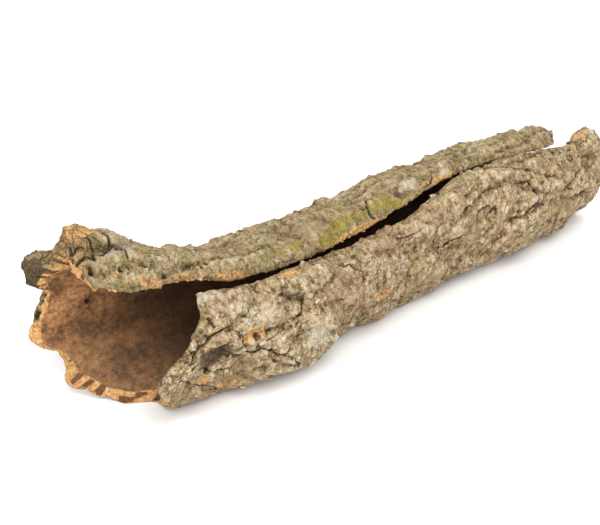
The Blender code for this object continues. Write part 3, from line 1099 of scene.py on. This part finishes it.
@dataclass(frozen=True)
class CorkBark(Finish):
    """Weathered tan bark with lichen and painted shade in its furrows and cracks, and the orange cork that
    shows where it is broken.
    """

    # painted shade in cracks, fine chinks and the deepest furrows
    crevice_shade: Triple = (0.040, 0.025, 0.015)
    brown: Triple = (0.155, 0.100, 0.052)
    tan: Triple = (0.285, 0.200, 0.104)
    buff: Triple = (0.400, 0.296, 0.170)
    cream: Triple = (0.540, 0.428, 0.275)
    chalk: Triple = (0.680, 0.600, 0.450)
    warm: Triple = (0.390, 0.237, 0.137)
    rind: Triple = (0.400, 0.200, 0.088)
    olive: Triple = (0.250, 0.212, 0.083)
    moss: Triple = (0.320, 0.265, 0.036)
    # painted shade in hollows, steps and beside the seam, and the darkest brown of the plated bark
    shade_and_plate_brown: Triple = (0.086, 0.056, 0.032)
    mauve: Triple = (0.400, 0.330, 0.270)
    cork_light: Triple = (0.800, 0.500, 0.215)
    cork_mid: Triple = (0.530, 0.275, 0.105)
    cork_deep: Triple = (0.210, 0.085, 0.036)
    streak: Triple = (0.095, 0.026, 0.018)
    pale_specks: Cloud = Cloud(1.6, 3, 0.7, 0.58, 0.68, 0.50)
    dark_specks: Cloud = Cloud(1.6, 3, 0.7, 0.42, 0.33, 0.60)
    warm_areas: Cloud = Cloud(38, 3, 0.55, 0.50, 0.66, 0.40)
    olive_areas: Cloud = Cloud(24, 4, 0.6, 0.50, 0.66, 0.35)
    bare_flecks: Cloud = Cloud(9, 7, 0.8, 0.60, 0.68, 0.55)
    patchy_light: float = 0.45  # how much each noise lightens and darkens the bark
    grain_light: float = 1.55
    wrinkle_light: float = 0.50
    roughness: float = 0.93
    specular: float = 0.12
    bump_depth: float = 2.0  # mm

    def draw(self, g: Graph) -> None:
        """Lay out the finish's nodes.

        Args:
            g: The material's tree.
        """
        where = g.place()
        grain = g.noise(where, 2.0, 5, 0.8)
        ragged = g.sum("SUBTRACT", g.noise(where, 6, 5, 0.7), 0.5)
        bark, bark_height = self.weathered(g, where, grain, ragged)
        cork, cork_height = self.broken(g, where, ragged)
        reach = g.sum("ADD", g.weight(Weight.BROKEN), g.sum("MULTIPLY", ragged, 0.9))
        share = g.spread(reach, 0.40, 0.54)
        colour = g.mix(share, bark, cork)
        # painted shade in the cracks and pits
        colour = g.lay(colour, self.crevice_shade, g.spread(g.weight(Weight.CRACK_SHADE), 0.42, 0.66), 0.85)
        step = g.sum("MULTIPLY", share, g.sum("SUBTRACT", cork_height, bark_height))
        height = g.sum("ADD", bark_height, step)
        g.shade(colour, self.roughness, g.bumps(height, self.bump_depth), self.specular)

    def weathered(self, g: Graph, where: Socket, grain: Socket, ragged: Socket) -> tuple[Socket, Socket]:
        """The weathered outside.

        Args:
            g: The tree.
            where: Object coordinates.
            grain: Fine noise.
            ragged: Noise about zero that makes a patch's edge uneven.

        Returns:
            Its colour and its height.
        """
        bent = g.warped(where, 9, 2.5)
        patchy = g.noise(g.stretched(bent, (0.7, 1, 1)), 8, 6, 0.7)
        wrinkle = g.noise(g.stretched(bent, (1.7, 0.5, 0.5)), 5, 4, 0.6)
        plates = g.cells(g.warped(where, 5, 1.6), 8, "DISTANCE_TO_EDGE")
        chinks = g.cells(g.warped(where, 3, 1.0), 3.2, "DISTANCE_TO_EDGE")
        plated = g.spread(g.sum("ADD", g.weight(Weight.PLATED), g.sum("MULTIPLY", ragged, 0.8)), 0.30, 0.60)
        seamed = g.sum("MAXIMUM", g.sum("MULTIPLY", g.spread(patchy, 0.54, 0.38), 0.7), plated)
        seams = g.sum("MULTIPLY", g.spread(plates, 0.085, 0.015), seamed)
        nicks = g.sum("MULTIPLY", g.spread(chinks, 0.13, 0.02), g.spread(wrinkle, 0.55, 0.42))
        # painted shade in the furrows and painted light on the crests set the bark's level, with a random
        # tone for each strewn piece
        level = g.sum("ADD", g.weight(Weight.RELIEF_SHADE), g.weight(Weight.TINT))
        lights = ((patchy, self.patchy_light), (grain, self.grain_light), (wrinkle, self.wrinkle_light))
        for cloud, strength in lights:
            level = g.sum("ADD", level, g.sum("MULTIPLY", g.sum("SUBTRACT", cloud, 0.5), strength))
        colour = g.ramp(
            level,
            (
                (0.14, self.crevice_shade), (0.29, self.brown), (0.40, self.tan),
                (0.52, self.buff), (0.68, self.cream), (0.90, self.chalk),
            ),
        )
        hues = g.ramp(
            g.noise(where, 7, 7, 0.8),
            ((0.36, (1, 0.82, 0.74)), (0.45, (1, 0.95, 0.90)), (0.54, (1, 1, 1)), (0.64, (0.96, 1, 0.70))),
        )
        colour = g.mix(1.0, colour, hues, "MULTIPLY")
        colour = self.pale_specks.lay(g, where, colour, self.chalk)
        colour = self.dark_specks.lay(g, where, colour, self.brown)
        colour = self.warm_areas.lay(g, where, colour, self.warm)
        rinds = ((0.36, self.shade_and_plate_brown), (0.46, self.brown), (0.54, self.rind), (0.66, self.cork_mid))
        colour = g.lay(colour, g.ramp(patchy, rinds), plated, 0.75)
        colour = self.olive_areas.lay(g, where, colour, self.olive)
        colour = g.lay(colour, self.olive, g.weight(Weight.SHADE), 0.30)
        bare = g.ramp(grain, ((0.34, self.cork_deep), (0.46, self.cork_mid), (0.60, self.cork_light)))
        patches = (
            (Weight.PALE, self.chalk, 0.65), (Weight.LILAC, self.mauve, 0.70),
            (Weight.GREEN, self.moss, 0.70), (Weight.RUST, bare, 0.85), (Weight.DARK, self.shade_and_plate_brown, 0.85),
        )
        for kind, tint, strength in patches:
            reach = g.sum("ADD", g.weight(kind), g.sum("MULTIPLY", ragged, 1.5))
            colour = g.lay(colour, tint, g.spread(reach, 0.36, 0.66), strength)
        colour = self.bare_flecks.lay(g, where, colour, bare)
        # painted shade in the fine cracks between the plates and in the wrinkles' nicks
        chink_shade = g.sum("MAXIMUM", seams, g.sum("MULTIPLY", nicks, 0.45))
        colour = g.lay(colour, self.crevice_shade, chink_shade, 0.60)
        height = g.sum("ADD", g.sum("MULTIPLY", grain, 0.8), g.sum("MULTIPLY", wrinkle, 0.6))
        height = g.sum("SUBTRACT", height, g.sum("MULTIPLY", seams, 0.5))
        return colour, g.sum("SUBTRACT", height, g.sum("MULTIPLY", nicks, 0.3))

    def broken(self, g: Graph, where: Socket, ragged: Socket) -> tuple[Socket, Socket]:
        """The freshly broken cork, whose streaks run through its thickness.

        Args:
            g: The tree.
            where: Object coordinates.
            ragged: Noise about zero that makes a streak's edge uneven.

        Returns:
            Its colour and its height.
        """
        grain = g.noise(where, 3.0, 6, 0.8)
        colour = g.ramp(grain, ((0.33, self.cork_deep), (0.45, self.cork_mid), (0.57, self.cork_light)))
        across = g.sum("MULTIPLY", g.weight(Weight.THROUGH), 0.3)
        strips = g.add("ShaderNodeCombineXYZ", X=g.weight(Weight.ROUND), Y=across).outputs[0]
        fibres = g.noise(strips, 2.4, 3, 0.6)
        colour = g.lay(colour, self.cork_deep, g.spread(fibres, 0.54, 0.68), 0.45)
        colour = g.lay(colour, self.cork_deep, g.spread(g.cells(where, 3.2), 0.20, 0.06), 0.55)
        reach = g.sum("ADD", g.weight(Weight.STREAK), g.sum("MULTIPLY", ragged, 1.4))
        colour = g.lay(colour, self.streak, g.spread(reach, 0.35, 0.55), 0.85)
        return colour, g.sum("SUBTRACT", grain, g.sum("MULTIPLY", fibres, 0.8))


@dataclass(frozen=True)
class InnerBark(Finish):
    """The smooth inner face: matt brown with faint lines along the tube, small holes whose darkness is
    painted shade, and painted shade deep inside the tube.
    """

    spots: tuple[tuple[Triple, float], ...]  # centre in metres and radius in mm
    light: Triple = (0.480, 0.245, 0.110)
    mid: Triple = (0.310, 0.150, 0.064)
    dark: Triple = (0.140, 0.072, 0.036)
    rust: Triple = (0.400, 0.160, 0.060)
    inner_shade: Triple = (0.035, 0.018, 0.010)
    hole_shade: Triple = (0.012, 0.008, 0.005)
    dust: Triple = (0.150, 0.104, 0.062)
    rusty_areas: Cloud = Cloud(40, 3, 0.6, 0.52, 0.68, 0.6)
    dust_top: float = 0.060  # metres above the floor at which the dust has ended
    dust_full: float = 0.015
    roughness: float = 0.9
    specular: float = 0.12
    bump_depth: float = 1.6  # mm

    def draw(self, g: Graph) -> None:
        """Lay out the finish's nodes.

        Args:
            g: The material's tree.
        """
        where = g.place()
        cloud = g.noise(where, 20, 6, 0.65)
        colour = g.ramp(cloud, ((0.36, self.dark), (0.48, self.mid), (0.60, self.light)))
        colour = self.rusty_areas.lay(g, where, colour, self.rust)
        lines = g.noise(g.stretched(where, (0.09, 1, 1)), 3.2, 4, 0.65)
        colour = g.lay(colour, self.dark, g.spread(lines, 0.54, 0.70), 0.50)
        speckle = g.noise(where, 3.0, 5, 0.9)
        colour = g.lay(colour, self.light, g.spread(speckle, 0.52, 0.60), 0.60)
        colour = g.lay(colour, self.dark, g.spread(speckle, 0.48, 0.40), 0.75)
        height = g.add("ShaderNodeSeparateXYZ", Vector=where).outputs["Z"]
        low = g.spread(height, self.dust_top, self.dust_full)
        colour = g.lay(colour, self.dust, g.sum("MULTIPLY", low, g.spread(speckle, 0.44, 0.54)), 0.80)
        mottles = g.ramp(
            g.noise(where, 5, 6, 0.85),
            ((0.40, (0.74, 0.73, 0.74)), (0.50, (1.06, 1.05, 1.04)), (0.60, (1.34, 1.28, 1.20))),
        )
        colour = g.mix(1.0, colour, mottles, "MULTIPLY")
        # painted shade deep inside the tube
        colour = g.lay(colour, self.inner_shade, g.weight(Weight.DEPTH), 0.86)
        # painted shade of the small holes
        hole_shades = 0.0
        for centre, radius in self.spots:
            hole_shades = g.sum("MAXIMUM", g.spot(where, centre, radius), hole_shades)
        colour = g.lay(colour, self.hole_shade, hole_shades, 0.85)
        relief = g.sum("ADD", g.sum("MULTIPLY", speckle, 0.7), g.sum("MULTIPLY", lines, 0.6))
        relief = g.sum("SUBTRACT", relief, g.sum("MULTIPLY", hole_shades, 1.5))
        g.shade(colour, self.roughness, g.bumps(relief, self.bump_depth), self.specular)


@dataclass
class BrokenEdge:
    """The rough broken cork between the bark's outer and inner borders. Lengths are in mm."""

    form: BarkForm
    steps: tuple[int, int]
    outer: Grid  # points of the outer border, in metres
    inner: Grid  # points of the inner border, as many as the outer
    run: Grid  # distance along the outer border
    on_edge: float = 0.01
    lip_bulge: float = 0.8
    roughness: tuple[Wave, ...] = (Wave(4.5, 1, 53), Wave(2, 0.6, 54))
    fin_waves: tuple[Wave, ...] = (Wave(3.0, 1, 51), Wave(1.5, 0.6, 52))
    old_fins: float = 0.4  # height of the fins on weathered cork, and what fresh cork adds
    fresh_fins: float = 0.8
    fresh_blend: float = 0.14  # share of the way across over which weathered turns to fresh
    mark_blend: float = 0.12
    mark_lap: float = 0.6
    swell_rise: float = 5.0  # how fast the roughness grows away from either border
    full_swell: float = 9.0  # thickness at which the roughness is full
    swell_limits: tuple[float, float] = (0.2, 1.1)
    crumb_free: float = 3.0  # band above the floor without crumbs
    # painted shade in the edge's dents and low parts, and painted light on its bumps
    relief_shade_light: float = 0.16
    across: Grid = field(init=False)
    out: Grid = field(init=False)
    thickness: Grid = field(init=False)
    angle: Grid = field(init=False)  # nan away from the mouth
    bulge: Grid = field(init=False)
    fresh: Grid = field(init=False)  # share of the way across from which the cork is fresh
    fins: Grid = field(init=False)

    def __post_init__(self) -> None:
        """Find the edge's thickness, its outward direction and what lies where round it."""
        self.across = self.inner - self.outer
        out = np.cross(self.across, np.roll(self.outer, -1, 0) - np.roll(self.outer, 1, 0))
        self.out = out / np.linalg.norm(out, axis=1)[:, None]
        self.thickness = np.linalg.norm(self.across, axis=1) / MM
        _, angle, edges = self.form.sheet(self.steps, inside=False)
        angle = border(angle)
        at_mouth, at_end = (border(edges[name]) < self.on_edge for name in ("mouth", "end"))
        elsewhere = np.where(at_end, FAR_FRESH, LIP_FRESH)
        self.bulge = np.where(at_mouth, smooth_curve(angle, MOUTH_BULGE), self.lip_bulge)
        self.fresh = np.where(at_mouth, smooth_curve(angle, MOUTH_FRESH), elsewhere)
        self.angle = np.where(at_mouth, angle, np.nan)
        self.fins = sum(wave.along(self.run) for wave in self.fin_waves)

    def marked(self, share: float) -> tuple[Grid, dict[Weight, Grid]]:
        """Streaks and holes on one row of the edge.

        Args:
            share: How far the row lies from the outer to the inner border.

        Returns:
            How deep each point is dented, and its weights for streaks and for the painted shade in cracks.
        """
        dent = np.zeros_like(self.angle)
        paint = {Weight.STREAK: np.zeros_like(dent), Weight.CRACK_SHADE: np.zeros_like(dent)}
        for mark in RIM_MARKS:
            within = np.nan_to_num(np.exp(-(((self.angle - mark.angle) / mark.half_width) ** 2)))
            ends = min(share - mark.start, mark.end - share) / self.mark_blend
            within = within * float(np.clip(ends + self.mark_lap, 0, 1))
            dent = np.maximum(dent, mark.dent * within)
            paint[mark.tint] = np.maximum(paint[mark.tint], within)
        return dent, paint

    def row(self, share: float) -> tuple[Grid, dict[Weight, Grid]]:
        """One row of the edge.

        Args:
            share: How far it lies from the outer to the inner border.

        Returns:
            Its points in metres, and the weights that differ from the outer border's.
        """
        line = self.outer + share * self.across
        broken = smooth_step((share - self.fresh) / self.fresh_blend + 0.5)
        rough = sum(wave.at(tuple((line / MM).T)) for wave in self.roughness)
        rough = rough + (self.old_fins + self.fresh_fins * broken) * self.fins
        swell = np.clip(self.thickness / self.full_swell, *self.swell_limits)
        swell = min(1, self.swell_rise * share * (1 - share)) * swell
        dent, paint = self.marked(share)
        lift = rough * swell + 4 * share * (1 - share) * self.bulge - dent
        line = line + (self.out.T * lift * MM).T
        line[:, 2] = np.maximum(line[:, 2], 0)
        clear = smooth_step((line[:, 2] / MM - self.crumb_free) / self.crumb_free)
        return line, paint | {
            Weight.THROUGH: share * self.thickness * MM,
            Weight.BROKEN: broken,
            Weight.FLAKY: clear * (1 - broken),
            Weight.CRUMBLY: broken * clear,
            # painted shade in the dents and painted light on the bumps
            Weight.RELIEF_SHADE: np.clip(0.5 + self.relief_shade_light * (rough - dent), 0, 1),
        }


@dataclass
class BarkBody:
    """The bark itself: one closed sheet of outside, broken edge and inside."""

    surface: BarkSurface
    name: str = "bark_sheet"
    edge_rows: tuple[float, ...] = (0.06, 0.20, 0.35, 0.50, 0.65, 0.80, 0.94)
    sharp_angle: float = 62.0  # degrees between faces, from which their edge stays sharp
    points: list[Grid] = field(default_factory=list)
    faces: list[tuple[int, ...]] = field(default_factory=list)
    zones: list[int] = field(default_factory=list)
    weights: dict[Weight, list[Grid]] = field(default_factory=dict)
    count: int = 0

    def lay(self, points: Grid, weights: dict[Weight, Grid]) -> Grid:
        """Add points to the mesh.

        Args:
            points: A grid or ring of points.
            weights: Their painted weights, where they have any.

        Returns:
            The vertex numbers, in the points' own arrangement.
        """
        shape = points.shape[:-1]
        index = np.arange(self.count, self.count + int(np.prod(shape))).reshape(shape)
        self.count += index.size
        self.points.append(points.reshape(-1, 3))
        for kind in Weight:
            value = weights.get(kind, np.zeros(shape))
            self.weights.setdefault(kind, []).append(np.broadcast_to(value, shape).reshape(-1))
        return index

    def fill(self, quads: list[tuple[int, ...]], zone: Zone) -> None:
        """Add faces of one zone."""
        self.faces += quads
        self.zones += [zone.value] * len(quads)

    def close(self, edge: BrokenEdge, ring: Grid, core: Grid, weights: dict[Weight, Grid]) -> None:
        """Close the gap between the outer and the inner border with the broken edge.

        Args:
            edge: The broken edge.
            ring: Vertex numbers of the outer border.
            core: Vertex numbers of the inner border, half as many.
            weights: Weights of the outer border.
        """
        previous = ring
        for share in self.edge_rows:
            line, own = edge.row(share)
            row = self.lay(line, {**weights, **own})
            following = np.roll(np.arange(len(row)), -1)
            quads = np.stack([previous, row, row[following], previous[following]], -1)
            self.fill([tuple(q) for q in quads.tolist()], Zone.OUTSIDE)
            previous = row
        for k in range(len(core)):
            a, b, c = (int(previous[(2 * k + n) % len(previous)]) for n in range(3))
            start, end = int(core[k]), int(core[(k + 1) % len(core)])
            self.fill([(a, start, b), (b, start, end), (b, end, c)], Zone.OUTSIDE)

    def shape(self) -> None:
        """Lay the outside, the inside and the broken edge between them."""
        outside, weights = self.surface.outside()
        inside, deep_shade = self.surface.inside()
        top = self.lay(outside, weights)
        self.fill([q[::-1] for q in grid_quads(top)], Zone.OUTSIDE)
        deep_shade = {kind: value[::2, ::2] for kind, value in deep_shade.items()}
        bottom = self.lay(inside[::2, ::2], {**deep_shade, Weight.BROKEN: 1.0})
        self.fill(grid_quads(bottom), Zone.INSIDE)
        outer, inner = border(outside), border(inside)
        steps = np.linalg.norm(np.roll(outer, -1, 0) - outer, axis=1)
        shared = {kind: border(value) for kind, value in weights.items()}
        shared[Weight.ROUND] = np.concatenate([[0], np.cumsum(steps)[:-1]])
        edge = BrokenEdge(self.surface.form, self.surface.steps, outer, inner, shared[Weight.ROUND] / MM)
        self.close(edge, border(top), border(bottom), shared)

    def mesh(self) -> bpy.types.Mesh:
        """Turn what has been laid into a closed mesh.

        Returns:
            The mesh with its painted weights.
        """
        data = bpy.data.meshes.new(self.name)
        data.from_pydata(np.concatenate(self.points).tolist(), [], self.faces)
        data.polygons.foreach_set("material_index", self.zones)
        for kind, values in self.weights.items():
            painted = data.attributes.new(kind.value, "FLOAT", "POINT")
            painted.data.foreach_set("value", np.concatenate(values))
        data.update()
        made = bmesh.new()
        made.from_mesh(data)
        bmesh.ops.recalc_face_normals(made, faces=made.faces[:])
        made.to_mesh(data)
        made.free()
        data.shade_smooth()
        data.set_sharp_from_angle(angle=math.radians(self.sharp_angle))
        return data

    def make(self, finishes: Sequence[bpy.types.Material]) -> bpy.types.Object:
        """Make the piece and dress it.

        Args:
            finishes: One material for each zone, in order.

        Returns:
            The bark, standing for its solid.
        """
        self.shape()
        data = self.mesh()
        for material in finishes:
            data.materials.append(material)
        piece = bpy.data.objects.new(self.name, data)
        bpy.context.scene.collection.objects.link(piece)
        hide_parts(CAD_NODE)
        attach(piece, BODY)
        return piece


@dataclass(frozen=True)
class Chip:
    """A small closed shape to be strewn: a jagged plate or grain, one unit in radius."""

    seed: int
    sides: int
    height: float
    jag: float  # most that a corner is drawn in
    uneven: float = 0.3  # most that a corner is turned aside, in shares of a side
    crown: tuple[float, float] = (0.5, 0.85)  # size of the top against the rim
    crown_height: tuple[float, float] = (0.6, 1)
    keel: float = 0.4  # depth under the rim, in heights

    def make(self) -> bpy.types.Object:
        """Build the shape.

        Returns:
            The shape, with its rim in the plane z = 0.
        """
        draw = np.random.default_rng(self.seed)
        n = self.sides
        turn = (np.arange(n) + draw.uniform(-self.uneven, self.uneven, n)) * math.tau / n
        reach = 1 - self.jag * draw.random(n)
        rim = np.stack([reach * np.cos(turn), reach * np.sin(turn), 0 * turn], -1)
        crown = rim * draw.uniform(*self.crown, (n, 1))
        crown[:, 2] = self.height * draw.uniform(*self.crown_height, n)
        tip, keel = (0, 0, self.height), (0, 0, -self.keel * self.height)
        faces = []
        for k in range(n):
            after = (k + 1) % n
            faces += [(k, after, n + after, n + k), (n + k, n + after, 2 * n), (after, k, 2 * n + 1)]
        data = bpy.data.meshes.new("chip")
        data.from_pydata([*rim.tolist(), *crown.tolist(), tip, keel], [], faces)
        return bpy.data.objects.new("chip", data)


@dataclass(frozen=True)
class Strewn:
    """Small pieces that a node tree strews over the bark, thickest where a painted weight is high."""

    name: str
    weight: Weight
    chips: tuple[Chip, ...]
    density: float  # pieces to a square metre
    smallest: float  # radius in mm
    largest: float
    sink: float  # mm below the bark's surface
    tilt: float  # most lean in degrees
    seed: int
    size_bias: float = 2.0  # over 1, small pieces are commoner than large ones
    tints: tuple[float, float] = (-0.18, 0.26)

    def random(self, g: Graph, low: object, high: object, seed: int) -> Socket:
        """A random number for each piece, or a random vector where the limits are vectors.

        Args:
            g: The tree.
            low: The least value.
            high: The greatest value.
            seed: The seed.

        Returns:
            The random value.
        """
        vector = isinstance(low, tuple)
        kind = "FLOAT_VECTOR" if vector else "FLOAT"
        node = g.add("FunctionNodeRandomValue", {"data_type": kind}, Seed=seed)
        first = 0 if vector else 2
        g.put(node.inputs[first], low)
        g.put(node.inputs[first + 1], high)
        return node.outputs[0 if vector else 1]

    def turned(self, g: Graph, upright: Socket) -> Socket:
        """Each piece's lean and spin.

        Args:
            g: The tree.
            upright: The turn that stands a piece on the bark.

        Returns:
            The whole turn.
        """
        lean = math.radians(self.tilt)
        spin = self.random(g, (-lean, -lean, 0), (lean, lean, math.tau), self.seed + 1)
        node = g.add("FunctionNodeRotateRotation", {"rotation_space": "LOCAL"}, Rotation=upright)
        g.put(node.inputs["Rotate By"], g.add("FunctionNodeEulerToRotation", Euler=spin).outputs[0])
        return node.outputs[0]

    def tree(self) -> bpy.types.NodeTree:
        """Lay out the node tree.

        Returns:
            The tree with its named inputs.
        """
        tree = bpy.data.node_groups.new(self.name, "GeometryNodeTree")
        kinds = {
            "Surface": "Object", "Shapes": "Collection", "Weight": "String", "Density": "Float",
            "Smallest": "Float", "Largest": "Float", "Sink": "Float", "Seed": "Int", "Finish": "Material",
        }
        for name, kind in kinds.items():
            tree.interface.new_socket(name, in_out="INPUT", socket_type=f"NodeSocket{kind}")
        tree.interface.new_socket("Geometry", in_out="OUTPUT", socket_type="NodeSocketGeometry")
        g = Graph(tree)
        given = g.add("NodeGroupInput").outputs
        surface = g.add("GeometryNodeObjectInfo", Object=given["Surface"]).outputs["Geometry"]
        shapes = g.add("GeometryNodeCollectionInfo", Collection=given["Shapes"])
        shapes.inputs["Separate Children"].default_value = True
        shapes.inputs["Reset Children"].default_value = True
        painted = g.add("GeometryNodeInputNamedAttribute", {"data_type": "FLOAT"}, Name=given["Weight"])
        dense = g.sum("MULTIPLY", painted.outputs["Attribute"], given["Density"])
        spots = g.add(
            "GeometryNodeDistributePointsOnFaces", {"distribute_method": "RANDOM"},
            Mesh=surface, Density=dense, Seed=given["Seed"],
        )
        down = g.add("ShaderNodeVectorMath", {"operation": "SCALE"}, Vector=spots.outputs["Normal"])
        g.put(down.inputs["Scale"], g.sum("MULTIPLY", given["Sink"], -1.0))
        sunk = g.add("GeometryNodeSetPosition", Geometry=spots.outputs["Points"], Offset=down.outputs[0])
        share = g.sum("POWER", self.random(g, 0.0, 1.0, self.seed + 2), self.size_bias)
        span = g.sum("MULTIPLY", g.sum("SUBTRACT", given["Largest"], given["Smallest"]), share)
        pieces = g.add(
            "GeometryNodeInstanceOnPoints", Points=sunk.outputs[0], Instance=shapes.outputs[0],
            Rotation=self.turned(g, spots.outputs["Rotation"]), Scale=g.sum("ADD", given["Smallest"], span),
        )
        pieces.inputs["Pick Instance"].default_value = True
        tint = self.random(g, *self.tints, self.seed + 3)
        tinted = g.add(
            "GeometryNodeStoreNamedAttribute", {"data_type": "FLOAT", "domain": "INSTANCE"},
            Geometry=pieces.outputs[0], Name=Weight.TINT.value, Value=tint,
        )
        solid = g.add("GeometryNodeRealizeInstances", Geometry=tinted.outputs[0])
        dressed = g.add("GeometryNodeSetMaterial", Geometry=solid.outputs[0], Material=given["Finish"])
        g.add("NodeGroupOutput", Geometry=dressed.outputs[0])
        return tree

    def make(self, bark: bpy.types.Object, finish: bpy.types.Material) -> bpy.types.Object:
        """Strew the pieces.

        Args:
            bark: The bark sheet with its painted weights.
            finish: The pieces' material.

        Returns:
            All the pieces as one plain mesh.
        """
        shapes = bpy.data.collections.new("chips")
        for chip in self.chips:
            shapes.objects.link(chip.make())
        tree = self.tree()
        carrier = bpy.data.objects.new("carrier", bpy.data.meshes.new("carrier"))
        bpy.context.scene.collection.objects.link(carrier)
        bpy.context.scene.collection.children.link(shapes)
        values = {
            "Surface": bark, "Shapes": shapes, "Weight": self.weight.value, "Density": self.density,
            "Smallest": self.smallest * MM, "Largest": self.largest * MM, "Sink": self.sink * MM,
            "Seed": self.seed, "Finish": finish,
        }
        modifier = carrier.modifiers.new("strewn", "NODES")
        modifier.node_group = tree
        for item in tree.interface.items_tree:
            if item.in_out == "INPUT":
                modifier[item.identifier] = values[item.name]
        bpy.context.view_layer.update()
        seen = carrier.evaluated_get(bpy.context.evaluated_depsgraph_get())
        data = bpy.data.meshes.new_from_object(seen)
        carrier.modifiers.remove(modifier)
        for old in [*shapes.objects, carrier]:
            bpy.data.objects.remove(old)
        bpy.data.collections.remove(shapes)
        bpy.data.node_groups.remove(tree)
        data.name = self.name
        piece = bpy.data.objects.new(self.name, data)
        bpy.context.scene.collection.objects.link(piece)
        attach(piece, BODY)
        return piece


FLAKES = tuple(Chip(seed, sides=7, height=0.30, jag=0.55) for seed in range(1, 7))
GRAINS = tuple(Chip(seed, sides=5, height=0.8, jag=0.3) for seed in range(11, 15))
STREWN = (
    Strewn(
        "bark_flakes", Weight.FLAKY, FLAKES,
        density=32000, smallest=0.8, largest=4.2, sink=0.1, tilt=20, seed=5,
    ),
    Strewn(
        "lichen_grains", Weight.GREEN, GRAINS,
        density=420000, smallest=0.3, largest=0.9, sink=0.1, tilt=30, seed=6,
    ),
    Strewn(
        "cork_crumbs", Weight.CRUMBLY, GRAINS,
        density=260000, smallest=0.35, largest=1.5, sink=0.2, tilt=40, seed=7,
    ),
)


@dataclass(frozen=True)
class Lamp:
    """A square soft light that faces the bark."""

    name: str
    place: Triple
    size: float
    power: float  # watts
    aim: Triple = (-0.02, 0, 0.04)

    def hang(self) -> None:
        """Put the light in the scene."""
        data = bpy.data.lights.new(self.name, "AREA")
        data.size = self.size
        data.energy = self.power
        holder = bpy.data.objects.new(self.name, data)
        holder.location = self.place
        holder.rotation_euler = (Vector(self.aim) - Vector(self.place)).to_track_quat("-Z", "Y").to_euler()
        bpy.context.scene.collection.objects.link(holder)


@dataclass(frozen=True)
class Studio:
    """A pale floor, soft lights and a camera at the photograph's viewing angle."""

    azimuth: float = -44.0
    elevation: float = 30.0
    distance: float = 1.1817
    target: Triple = (-0.040, 0.0123, 0.0455)
    focal_pixels: float = 1593.0
    image_width: float = 600.0  # pixels
    sensor: float = 36.0  # mm
    floor_size: float = 8.0
    floor_level: float = -0.0002
    floor_colour: Triple = (0.90, 0.90, 0.895)
    floor_roughness: float = 0.9
    floor_specular: float = 0.1
    surroundings: float = 0.9  # strength of the even white light
    lamps: tuple[Lamp, ...] = (
        Lamp("key", (-0.9, -1.5, 2.3), 1.6, 66),
        Lamp("mouth_fill", (-2.2, -0.9, 0.9), 1.2, 16),
        Lamp("back", (0.8, 1.8, 1.8), 1.5, 22),
    )

    def floor(self) -> None:
        """Lay the floor just under the bark."""
        data = bpy.data.meshes.new("studio_floor")
        half = self.floor_size / 2
        corners = [(x * half, y * half, self.floor_level) for x, y in ((-1, -1), (1, -1), (1, 1), (-1, 1))]
        data.from_pydata(corners, [], [(0, 1, 2, 3)])
        plane = bpy.data.objects.new("studio_floor", data)
        bpy.context.scene.collection.objects.link(plane)
        material = bpy.data.materials.new("pale_floor")
        material.use_nodes = True
        shader = material.node_tree.nodes["Principled BSDF"]
        shader.inputs["Base Color"].default_value = (*self.floor_colour, 1)
        shader.inputs["Roughness"].default_value = self.floor_roughness
        shader.inputs["Specular IOR Level"].default_value = self.floor_specular
        data.materials.append(material)

    def world(self) -> None:
        """Surround the studio with even white light."""
        world = bpy.data.worlds.new("soft_white")
        world.use_nodes = True
        background = world.node_tree.nodes["Background"]
        background.inputs["Color"].default_value = (1, 1, 1, 1)
        background.inputs["Strength"].default_value = self.surroundings
        bpy.context.scene.world = world

    def camera(self) -> None:
        """Set up the camera."""
        azimuth, elevation = math.radians(self.azimuth), math.radians(self.elevation)
        level = math.cos(elevation)
        back = Vector((math.sin(azimuth) * level, -math.cos(azimuth) * level, math.sin(elevation)))
        data = bpy.data.cameras.new("camera")
        data.sensor_width = self.sensor
        data.lens = self.focal_pixels * self.sensor / self.image_width
        holder = bpy.data.objects.new("camera", data)
        holder.location = Vector(self.target) + back * self.distance
        holder.rotation_euler = back.to_track_quat("Z", "Y").to_euler()
        bpy.context.scene.collection.objects.link(holder)
        bpy.context.scene.camera = holder

    def make(self) -> None:
        """Build the whole studio."""
        self.floor()
        self.world()
        for lamp in self.lamps:
            lamp.hang()
        self.camera()
        bpy.context.scene.view_settings.view_transform = "Standard"


def main() -> None:
    """Build the bark and the studio round it."""
    logging.basicConfig(level=logging.INFO, format="%(message)s")
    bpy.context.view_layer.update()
    form = BarkForm()
    surface = BarkSurface(form, FineRelief(form))
    spots = tuple((form.inner_place(along, angle), radius) for along, angle, radius in INNER_SPOTS)
    finishes = [CorkBark("cork_bark").material(), InnerBark("inner_bark", spots).material()]
    bark = BarkBody(surface).make(finishes)
    logging.info("%s: %d faces", bark.name, len(bark.data.polygons))
    for strewn in STREWN:
        pieces = strewn.make(bark, finishes[0])
        logging.info("%s: %d faces", pieces.name, len(pieces.data.polygons))
    Studio().make()


if __name__ == "__main__":
    main()
